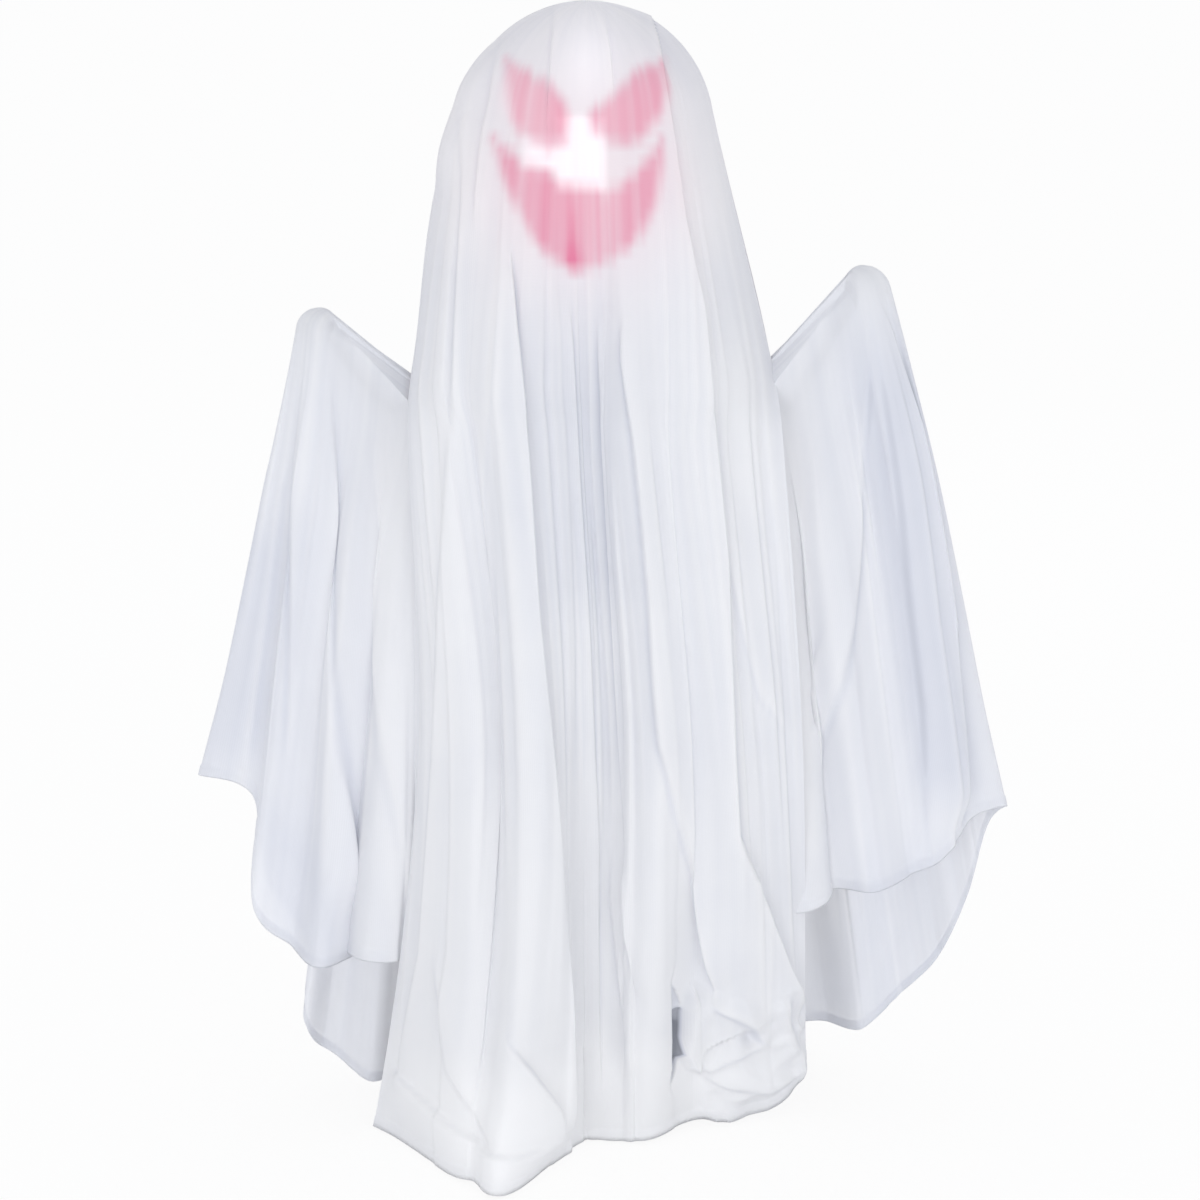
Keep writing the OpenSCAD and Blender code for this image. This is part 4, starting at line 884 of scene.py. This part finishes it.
# Finishes of the hardware: group, dark tone, light tone, roughness, metallic, grain scale, bump
HARD_FINISHES = {
    "pad_rubber": ("grain", (0.010, 0.010, 0.011), (0.022, 0.022, 0.024), 0.78, 0.0, 700.0, 0.5),
    "base_plastic": ("grain", (0.026, 0.026, 0.028), (0.046, 0.046, 0.050), 0.48, 0.0, 1400.0, 0.35),
    "red_plastic": ("grain", (0.46, 0.010, 0.008), (0.58, 0.016, 0.012), 0.26, 0.0, 1600.0, 0.08),
    "ballast_steel": ("grain", (0.07, 0.07, 0.075), (0.16, 0.15, 0.15), 0.55, 0.85, 420.0, 0.6),
    "screw_steel": ("drawn", (0.34, 0.34, 0.36), (0.58, 0.58, 0.60), 0.28, 1.0, 1500.0, 0.12),
    "battery_wrap": ("drawn", (0.30, 0.17, 0.05), (0.44, 0.27, 0.09), 0.30, 0.6, 1500.0, 0.06),
    "board_green": ("grain", (0.006, 0.070, 0.030), (0.014, 0.110, 0.052), 0.36, 0.0, 800.0, 0.15),
    "mast_alu": ("drawn", (0.42, 0.43, 0.45), (0.60, 0.61, 0.63), 0.32, 1.0, 1500.0, 0.10),
    "column_paint": ("grain", (0.028, 0.028, 0.031), (0.052, 0.052, 0.056), 0.52, 0.0, 1000.0, 0.45),
    "arm_paint": ("grain", (0.018, 0.018, 0.020), (0.034, 0.034, 0.037), 0.50, 0.0, 1000.0, 0.45),
    "nylon": ("grain", (0.62, 0.62, 0.55), (0.74, 0.74, 0.67), 0.42, 0.0, 900.0, 0.12),
    "gear_acetal": ("grain", (0.60, 0.52, 0.33), (0.72, 0.64, 0.43), 0.36, 0.0, 900.0, 0.10),
    "brass": ("drawn", (0.42, 0.22, 0.05), (0.60, 0.36, 0.11), 0.28, 1.0, 1500.0, 0.10),
    "motor_can": ("drawn", (0.32, 0.33, 0.36), (0.52, 0.53, 0.56), 0.30, 1.0, 1500.0, 0.12),
    "hand_foam": ("grain", (0.50, 0.49, 0.45), (0.66, 0.65, 0.61), 0.92, 0.0, 520.0, 0.9),
    "led_white": ("grain", (0.68, 0.69, 0.65), (0.80, 0.81, 0.78), 0.40, 0.0, 900.0, 0.08),
}

# Finishes that glow: dark tone, light tone, roughness, grain scale, light colour, light strength
LIT_FINISHES = {
    "head_plastic": ((0.74, 0.74, 0.72), (0.84, 0.84, 0.83), 0.50, 900.0, (1.0, 0.93, 0.95), 0.16),
    "lens_pink": ((0.78, 0.13, 0.26), (0.86, 0.20, 0.34), 0.28, 500.0, (1.0, 0.22, 0.42), 0.4),
    "led_clear": ((0.86, 0.42, 0.56), (0.92, 0.55, 0.66), 0.12, 400.0, (1.0, 0.55, 0.68), 1.2),
}


def hard_finish(name, values, groups):
    """Moulded, painted or drawn finish on Object coordinates, with its body and its coordinates."""
    kind, dark, light, rough, metallic, scale, bump = values
    material, tree, surface = clean_material(name)
    where = place(tree, "ShaderNodeTexCoord").outputs["Object"]
    effect = place(
        tree, "ShaderNodeGroup", node_tree=groups[kind], Vector=where, Scale=scale,
        Dark=(*dark, 1), Light=(*light, 1), Rough=rough,
    ).outputs
    normal = bump_node(tree, effect["Height"], bump, 0.2 * MM)
    body = place(
        tree, "ShaderNodeBsdfPrincipled", Metallic=metallic, Base_Color=effect["Color"],
        Roughness=effect["Roughness"], Normal=normal,
    )
    tree.links.new(body.outputs[0], surface)
    return material, body, where


def lit_finish(name, values, groups):
    """Plastic with a lamp behind it, in soft clouds."""
    dark, light, rough, scale, glow, strength = values
    plain = ("grain", dark, light, rough, 0.0, scale, 0.08)
    material, body, where = hard_finish(name, plain, groups)
    tree = material.node_tree
    dim = tuple(c * 0.7 for c in glow) + (1,)
    cloudy = mix_colour(tree, noise_node(tree, where, 22.0), dim, (*glow, 1))
    light_up(material, body, cloudy, strength)
    return material


# Pieces
class GHOST_OT_hardware(Operator):
    """Gives every hard node its finish"""

    bl_idname = "ghost.hardware"
    bl_label = "Finish the Hardware"

    def execute(self, context):
        groups = {"grain": grain_group(), "drawn": drawn_group()}
        made = {}
        for name, values in HARD_FINISHES.items():
            made[name] = hard_finish(name, values, groups)[0]
        for name, values in LIT_FINISHES.items():
            made[name] = lit_finish(name, values, groups)
        for part in frame["record"]["subparts"]:
            node = frame["nodes"][part["node"]]
            if part["material_slot"] == "sheer_cloth":
                continue
            node.data.materials.clear()
            node.data.materials.append(made[part["material_slot"]])
        return {"FINISHED"}


def cloth_piece(name, node, finish, grid, inward, paints, settings):
    """Turns the hem, makes the sheet and puts it in place of its CAD solid."""
    flat = np.stack([spread(grid, 1).mean(0)[None] + 0 * grid[..., 0], spread(grid, 0)], -1)
    hemmed, uv = turn_hem(grid, flat, settings.hem, inward)
    piece = sheet_object(name, hemmed, uv, paints, inward < 0)
    weave = bpy.data.node_groups.get("Sheer weave") or weave_group()
    piece.data.materials.append(bpy.data.materials.get(finish) or cloth_finish(finish, settings, weave))
    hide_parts(node)
    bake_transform(piece)
    return piece


def edge_fade(cols, share):
    """0 at both side edges and 1 between them, for each column."""
    u = np.linspace(0, 1, cols)
    return ease(np.minimum(u, 1 - u) / share)[None]


def off_head(points):
    """Keeps cloth outside the head shell."""
    rise = points[..., 2] - HEAD_Z
    tall = np.where(rise >= 0, HEAD_UP, HEAD_LOW)
    least = HEAD_R * np.sqrt(np.clip(1 - (rise / tall) ** 2, 0, 1)) + HEAD_ROOM
    r = np.hypot(points[..., 0], points[..., 1])
    near = (r < least) & (points[..., 2] > NECK_Z) & (rise < 0.97 * HEAD_UP)
    points[..., :2] *= np.where(near, least / np.maximum(r, 1e-6), 1.0)[..., None]
    return points


def down_path(path, x, z):
    """Offset in x from a path down the cloth, depth below its top and height over its end."""
    line = np.array(path, float)[::-1] * MM
    return x - np.interp(z, line[:, 1], line[:, 0]), line[-1, 1] - z, z - line[0, 1]


def crease_lift(grid, creases, fine, glint):
    """Height, lean and painted tone of the sharp folds: painted highlight on the crest, painted shade under
    the steep side.
    """
    x = grid[..., 0]
    z = grid[..., 2]
    lift = np.zeros(x.shape)
    lean = np.zeros(x.shape)
    tone = np.zeros(x.shape)
    free = hanging(z)
    for path, height, left, right, shade in creases:
        off, below, above = down_path(path, x, z)
        run = ease(below / 0.06 + 0.4) * ease(above / 0.06 + 0.4)
        shape = height * MM * ridge(off, left * MM, right * MM) * run * (0.45 + 0.55 * free)
        steep = 1 if left > right else -1
        lift += shape
        lean += (0.9 - 0.5 * free) * steep * shape
        under = ridge(off - steep * 2.05 * fine, fine, fine)
        painted_fold_light = ridge(off, min(left, 6) * MM, min(right, 6) * MM)
        tone += run * (glint * painted_fold_light - shade * under)
    return lift, lean, tone


def thin_shade_light_bands(grid, bands):
    """Share by which the cloth thins and is painted in shade along a few bands, under 0 where it is doubled
    and painted in light.
    """
    x = grid[..., 0]
    z = grid[..., 2]
    thin_shade_light = np.zeros(x.shape)
    for path, wide, share in bands:
        off, below, above = down_path(path, x, z)
        run = ease(below / 0.12 + 0.2) * ease(above / 0.08 + 0.5)
        thin_shade_light += share * np.exp(-((off / (wide * MM)) ** 4)) * run
    return thin_shade_light


def hem_rows(start, count, low_count):
    """Row values down to the hem, closer near the floor and closest at the turned edge."""
    low = 0.84
    edge = (0.9915, 0.9923, 0.9929, 0.9938, 0.9968, 1.0)
    high = np.linspace(start, low, count, endpoint=False)
    return np.concatenate([high, np.linspace(low, 0.989, low_count), edge])


def hem_step(down, width):
    """The turned hem makes the edge a little thicker."""
    return HEM_STEP * ease((width - (down[-1] - down)) / (1.5 * MM) + 0.5)


def beside(path, x, z):
    """Distance from a line of x z points, positive on its left, and the share of the way along it."""
    line = np.array(path, float) * MM
    steps = np.linalg.norm(np.diff(line, axis=0), axis=1)
    best = np.full(x.shape, 1e9)
    off = np.zeros(x.shape)
    share = np.zeros(x.shape)
    gone = 0.0
    for a, b, step in zip(line[:-1], line[1:], steps):
        dx, dz, t = from_segment(a, b, x, z)
        far = np.hypot(dx, dz)
        near = far < best
        best = np.where(near, far, best)
        run, rise = b - a
        off = np.where(near, far * np.where(run * dz - rise * dx > 0, 1, -1), off)
        share = np.where(near, (gone + t * step) / steps.sum(), share)
        gone += step
    return off, share


def floor_bunch(grid, seed):
    """Height, and painted highlights and shade, of the cloth that bunches on the floor in front of the
    base.
    """
    x = grid[..., 0]
    z = grid[..., 2]
    lift = np.zeros(x.shape)
    tone = np.zeros(x.shape)
    for path, height, left, right in FLOOR_FOLDS:
        off, share = beside(path, x, z)
        run = ease(share / 0.2 + 0.15) * ease((1 - share) / 0.2 + 0.15)
        steep = 1 if left > right else -1
        lift += height * MM * run * ridge(-off, left * MM, right * MM)
        under = ridge(-off - steep * 4 * MM, 3 * MM, 3 * MM)
        tone += run * (0.7 * ridge(off, 5 * MM, 5 * MM) - 1.4 * under * min(height / 8, 1))
    dent_x, dent_z, dent_r = (size * MM for size in FLOOR_DENT)
    dent = bell(x, dent_x, dent_r) * bell(z, dent_z, dent_r)
    crumple = ease((x - 0.105) / 0.03) * ease((0.19 - z) / 0.1)
    knots = 1 - 2 * np.abs(drift(x / 0.03 + z / 0.08, z / 0.03 - x / 0.12, seed))
    slit = floor_slit(x, z)
    lift += (5 * crumple * knots - 13 * dent - 8 * slit) * MM
    # The dent and the slit are painted darker as shade
    return lift, tone - 1.2 * dent - 6 * slit


def slit_line(z):
    """Middle and half width of the slit at a height."""
    heights, middle, half = np.array(SLIT).T * MM
    return np.interp(z, heights, middle), np.interp(z, heights, half)


def floor_slit(x, z):
    """Depth from 0 to 1 of the narrow gap between two folds, painted dark grey as shade and partly
    see-through to the dark base.
    """
    middle, half = slit_line(z)
    deep = 1 - 0.65 * ease((z - 0.143) / 0.006)
    ends = ease((z - 0.06) / 0.008) * ease((0.18 - z) / 0.01)
    return deep * ends * (np.abs(x - middle) < 1.02 * half)


def part_columns(grid):
    """Slides mesh columns so that a pair of them follows each edge of the slit."""
    row = np.abs(grid[:, :, 2].mean(1) - SLIT_MID_Z).argmin()
    centre = np.abs(grid[row, :, 0] - slit_line(SLIT_MID_Z)[0]).argmin()
    reach = 14
    columns = slice(centre - reach, centre + reach + 1)
    steps = np.arange(-reach, reach + 1)
    for line in grid:
        near = line[columns].copy()
        middle, half = slit_line(near[reach, 2])
        share = ease((near[reach, 2] - 0.04) / 0.02) * ease((0.205 - near[reach, 2]) / 0.025)
        edges = middle + half * np.array((-1.04, -1.0, 0, 1.0, 1.04))
        goal = np.interp(steps, (-reach, -3, -2, 0, 2, 3, reach), (near[0, 0], *edges, near[-1, 0]))
        x = near[:, 0] + share * (goal - near[:, 0])
        for k in (1, 2):
            line[columns, k] = np.interp(x, near[:, 0], near[:, k])
        line[columns, 0] = x
    return grid


def drape_panel(folds, creases, seed, settings, extra=None):
    """A body panel that hangs from the head in long folds, drawn through its fold lines."""
    crown = np.linspace(0, CROWN_SHARE, PANEL_ROWS[0], endpoint=False)
    rows = np.concatenate([crown, hem_rows(CROWN_SHARE, *PANEL_ROWS[1:])])
    grid = panel_grid(folds, rows, PANEL_COLUMNS)
    grid = part_columns(grid) if extra is not None else grid
    across = np.repeat(spread(grid, 1)[np.searchsorted(rows, 0.62)][None], len(rows), 0)
    down = spread(grid, 0)
    z = grid[..., 2]
    grow = hanging(z)
    low = ease((0.75 - z) / 0.6)
    lift, lean, painted_fold_light = small_folds(across, down, seed, PANEL_SMALL_FOLDS)
    # line holds the painted highlight and shade of the sharp folds
    sharp, push, line = crease_lift(grid, creases, PANEL_SHADE, PANEL_GLINT)
    lift = (0.12 + grow) * (0.7 + 0.5 * low) * lift + sharp
    lift += (0.4 + 0.5 * settings.depth * grow) * MM * pleats(across, down, seed)
    lift += HEM_WAVE * ease((rows - 0.8) / 0.2)[:, None] * drift(across / 0.045, down / 0.5, seed + 6)
    if extra is not None:
        # The bunched cloth's painted highlights and shade join those of the sharp folds
        bunched, tone = extra(grid, seed + 9)
        lift += bunched
        line = line + tone
    fade = edge_fade(grid.shape[1], 0.04)
    lift = np.maximum(lift * fade, -CROWN_SINK - PANEL_SINK * grow) + hem_step(down, settings.hem)
    side = (grow * lean * fade)[..., None] * tangents(grid)
    grid = grid - normals(grid) * lift[..., None] + side
    grid[..., 0] += push * fade
    way = np.sign(grid[..., 1].mean())
    closed = grid[..., 2] > EAR_Z
    grid[..., 1] = np.where(closed, way * np.maximum(way * grid[..., 1], SEAM_GAP), grid[..., 1])
    grid[..., 2] = np.maximum(grid[..., 2], CLOTH_T)
    # The last value is the painted highlight and shade of the folds
    return off_head(keep_out(grid)), across, down, (0.3 + 0.7 * grow) * painted_fold_light + line


def drape_wing(folds, creases, side, seed, settings):
    """A wing that hangs over its arm and hand in long folds."""
    top = np.linspace(-1, 0, WING_ROWS[0], endpoint=False)
    rows = np.concatenate([top, hem_rows(0, *WING_ROWS[1:]) ** 1.2])
    grid = wing_grid(folds, side, rows, WING_COLUMNS)
    across = np.repeat(spread(grid, 1)[np.searchsorted(rows, 0.6)][None], len(rows), 0)
    down = spread(grid, 0)
    fall = ease((rows - 0.01) / 0.4)[:, None]
    lift, lean, painted_fold_light = small_folds(across, down, seed, WING_SMALL_FOLDS)
    # line holds the painted highlight and shade of the sharp folds
    sharp, push, line = crease_lift(grid, creases, WING_SHADE, WING_GLINT)
    facing = ease(0.5 - grid[..., 1] / 0.03)
    lift = fall * (lift + facing * sharp + 0.5 * settings.depth * MM * pleats(across, down, seed))
    lift += HEM_WAVE * ease((rows - 0.75) / 0.25)[:, None] * drift(across / 0.05, down / 0.5, seed + 3)
    inner = ease((0.30 - np.abs(grid[..., 0])) / 0.07) * ease((ARM_Z - grid[..., 2]) / 0.15)
    lift += INNER_LIFT * facing * inner
    lift = np.maximum(lift, -WING_SINK) + hem_step(down, settings.hem)
    out = -side * normals(grid)
    grid = grid + out * lift[..., None] + tangents(grid) * (fall * lean)[..., None]
    grid[..., 0] += fall * facing * push
    # The last value is the painted highlight and shade of the folds
    return keep_out(grid), across, down, fall * (painted_fold_light + facing * line)


def layer_cover_and_painted_light(across, down, painted_fold_light, thin_shade_light, seed):
    """How gathered the cloth is, with painted shade and light: low in thin places and in painted shade,
    under 0 in an opening and in painted shade lines, over 1 where light is painted on doubled cloth.
    """
    gather_and_painted_light = np.zeros(across.shape)
    for i, (share, wide, long) in enumerate(GATHERS):
        gather_and_painted_light += share * drift(across / wide, down / long, seed + 11 + i)
    cover = np.clip(0.66 - 0.2 * thin_shade_light + 0.2 * gather_and_painted_light + 0.34 * painted_fold_light, -1, 1)
    # Painted light: a little over 1 on the most doubled bands
    return cover + 0.2 * np.clip(-thin_shade_light - 1.8, 0, 1)


class GHOST_OT_front_cloth(Operator):
    """Drapes the front panel from the crown to the floor"""

    bl_idname = "ghost.front_cloth"
    bl_label = "Drape the Front Panel"

    def execute(self, context):
        settings = context.scene.ghost_cloth
        seed = FRONT_SEED
        grid, across, down, painted_fold_light = drape_panel(FRONT_FOLDS, FRONT_CREASES, seed, settings, floor_bunch)
        pink, haze, lamp = face_light(grid, across, down)
        cover = layer_cover_and_painted_light(across, down, painted_fold_light, thin_shade_light_bands(grid, FRONT_THIN_SHADE_LIGHT), seed)
        paints = {"face_pink": pink, "face_haze": haze, "face_lamp": lamp, "cover": cover}
        piece = cloth_piece("front_panel", "front_cloth", "ghost_front", grid, 1, paints, settings)
        return {"FINISHED"}


class GHOST_OT_back_cloth(Operator):
    """Drapes the back panel from the crown to the floor"""

    bl_idname = "ghost.back_cloth"
    bl_label = "Drape the Back Panel"

    def execute(self, context):
        settings = context.scene.ghost_cloth
        grid, across, down, painted_fold_light = drape_panel(BACK_FOLDS, (), BACK_SEED, settings)
        cover = layer_cover_and_painted_light(across, down, painted_fold_light, 0, BACK_SEED)
        piece = cloth_piece("back_panel", "back_cloth", "ghost_back", grid, 1, {"cover": cover}, settings)
        return {"FINISHED"}


class GHOST_OT_wings(Operator):
    """Hangs the left and right wings over the arms and hands"""

    bl_idname = "ghost.wings"
    bl_label = "Hang the Wings"

    def execute(self, context):
        settings = context.scene.ghost_cloth
        both = (
            (-1, "left", LEFT_FOLDS, LEFT_CREASES, LEFT_THIN_SHADE_LIGHT, LEFT_SEED),
            (1, "right", RIGHT_FOLDS, RIGHT_CREASES, RIGHT_THIN_SHADE_LIGHT, RIGHT_SEED),
        )
        for side, label, folds, creases, bands, seed in both:
            grid, across, down, painted_fold_light = drape_wing(folds, creases, side, seed, settings)
            cover = layer_cover_and_painted_light(across, down, painted_fold_light, thin_shade_light_bands(grid, bands), seed)
            piece = cloth_piece(
                label + "_drape", label + "_wing", "ghost_wing", grid, side, {"cover": cover}, settings
            )
        return {"FINISHED"}


class GHOST_OT_stage(Operator):
    """Sets the camera, the lights, the floor and the white surround"""

    bl_idname = "ghost.stage"
    bl_label = "Set the Stage"

    def execute(self, context):
        settings = context.scene.ghost_stage
        scene = context.scene
        scene.view_settings.view_transform = "Standard"
        eye = bpy.data.cameras.new("photo_camera")
        eye.lens = settings.lens
        eye.sensor_width = 36.0
        eye.clip_end = 150.0
        camera = bpy.data.objects.new("photo_camera", eye)
        camera.location = (settings.aside, -settings.distance, settings.height)
        camera.rotation_euler = (math.pi / 2 - settings.pitch, 0, 0)
        scene.collection.objects.link(camera)
        scene.camera = camera
        for name, (at, size) in LAMPS.items():
            self.lamp(scene, name + "_light", getattr(settings, name), at, size)
        self.floor()
        self.surround(scene, settings.sky)
        return {"FINISHED"}

    def lamp(self, scene, name, power, at, size):
        """A square lamp that faces the middle of the ghost."""
        light = bpy.data.lights.new(name, "AREA")
        light.energy = power
        light.size = size
        lamp = bpy.data.objects.new(name, light)
        lamp.location = at
        aim = np.array(LAMP_AIM) - np.array(at)
        tilt = math.acos(-aim[2] / np.linalg.norm(aim))
        lamp.rotation_euler = (tilt, 0, math.atan2(aim[1], aim[0]) - math.pi / 2)
        scene.collection.objects.link(lamp)

    def seen(self, tree):
        """1 for rays that see the background."""
        path = place(tree, "ShaderNodeLightPath")
        glossy = math_node(tree, "MAXIMUM", path.outputs["Is Camera Ray"], path.outputs["Is Glossy Ray"])
        return math_node(tree, "MAXIMUM", glossy, path.outputs["Is Transmission Ray"])

    def floor(self):
        """A wide sheet of white paper."""
        bpy.ops.object.select_all(action="DESELECT")
        bpy.ops.mesh.primitive_plane_add(size=90, location=(0, 0, 0))
        ground = bpy.context.active_object
        ground.name = "studio_floor"
        material, tree, surface = clean_material("studio_white")
        paper = place(tree, "ShaderNodeBsdfDiffuse", Color=(0.94, 0.94, 0.94, 1))
        light = place(tree, "ShaderNodeEmission", Color=(1, 1, 1, 1), Strength=1.0)
        share = math_node(tree, "MULTIPLY", self.seen(tree), 0.9)
        tree.links.new(mix_shader(tree, share, paper, light), surface)
        ground.data.materials.append(material)

    def surround(self, scene, strength):
        """Light from all round, with plain white behind."""
        world = bpy.data.worlds.new("studio_surround")
        scene.world = world
        world.use_nodes = True
        tree = world.node_tree
        tree.nodes.clear()
        room = place(tree, "ShaderNodeBackground", Color=(0.97, 0.98, 1.0, 1), Strength=strength)
        white = place(tree, "ShaderNodeBackground", Color=(1, 1, 1, 1), Strength=1.0)
        place(tree, "ShaderNodeOutputWorld", Surface=mix_shader(tree, self.seen(tree), room, white))


class GHOST_PT_panel(Panel):
    """Lists the ghost's operators and settings"""

    bl_idname = "GHOST_PT_panel"
    bl_label = "Rising Ghost"
    bl_space_type = "VIEW_3D"
    bl_region_type = "UI"
    bl_category = "Ghost"

    def draw(self, context):
        layout = self.layout
        for operator in OPERATORS:
            layout.operator(operator.bl_idname)
        for group in (context.scene.ghost_cloth, context.scene.ghost_stage):
            for name in group.__annotations__:
                layout.prop(group, name)


OPERATORS = (
    GHOST_OT_stage,
    GHOST_OT_hardware,
    GHOST_OT_front_cloth,
    GHOST_OT_back_cloth,
    GHOST_OT_wings,
)
CLASSES = (GhostCloth, GhostStage, *OPERATORS, GHOST_PT_panel)


def register():
    for cls in CLASSES:
        bpy.utils.register_class(cls)
    bpy.types.Scene.ghost_cloth = PointerProperty(type=GhostCloth)
    bpy.types.Scene.ghost_stage = PointerProperty(type=GhostStage)


def unregister():
    del bpy.types.Scene.ghost_stage
    del bpy.types.Scene.ghost_cloth
    for cls in reversed(CLASSES):
        bpy.utils.unregister_class(cls)


def main():
    register()
    bpy.ops.ghost.stage()
    bpy.ops.ghost.hardware()
    bpy.ops.ghost.front_cloth()
    bpy.ops.ghost.back_cloth()
    bpy.ops.ghost.wings()


if __name__ == "__main__":
    main()
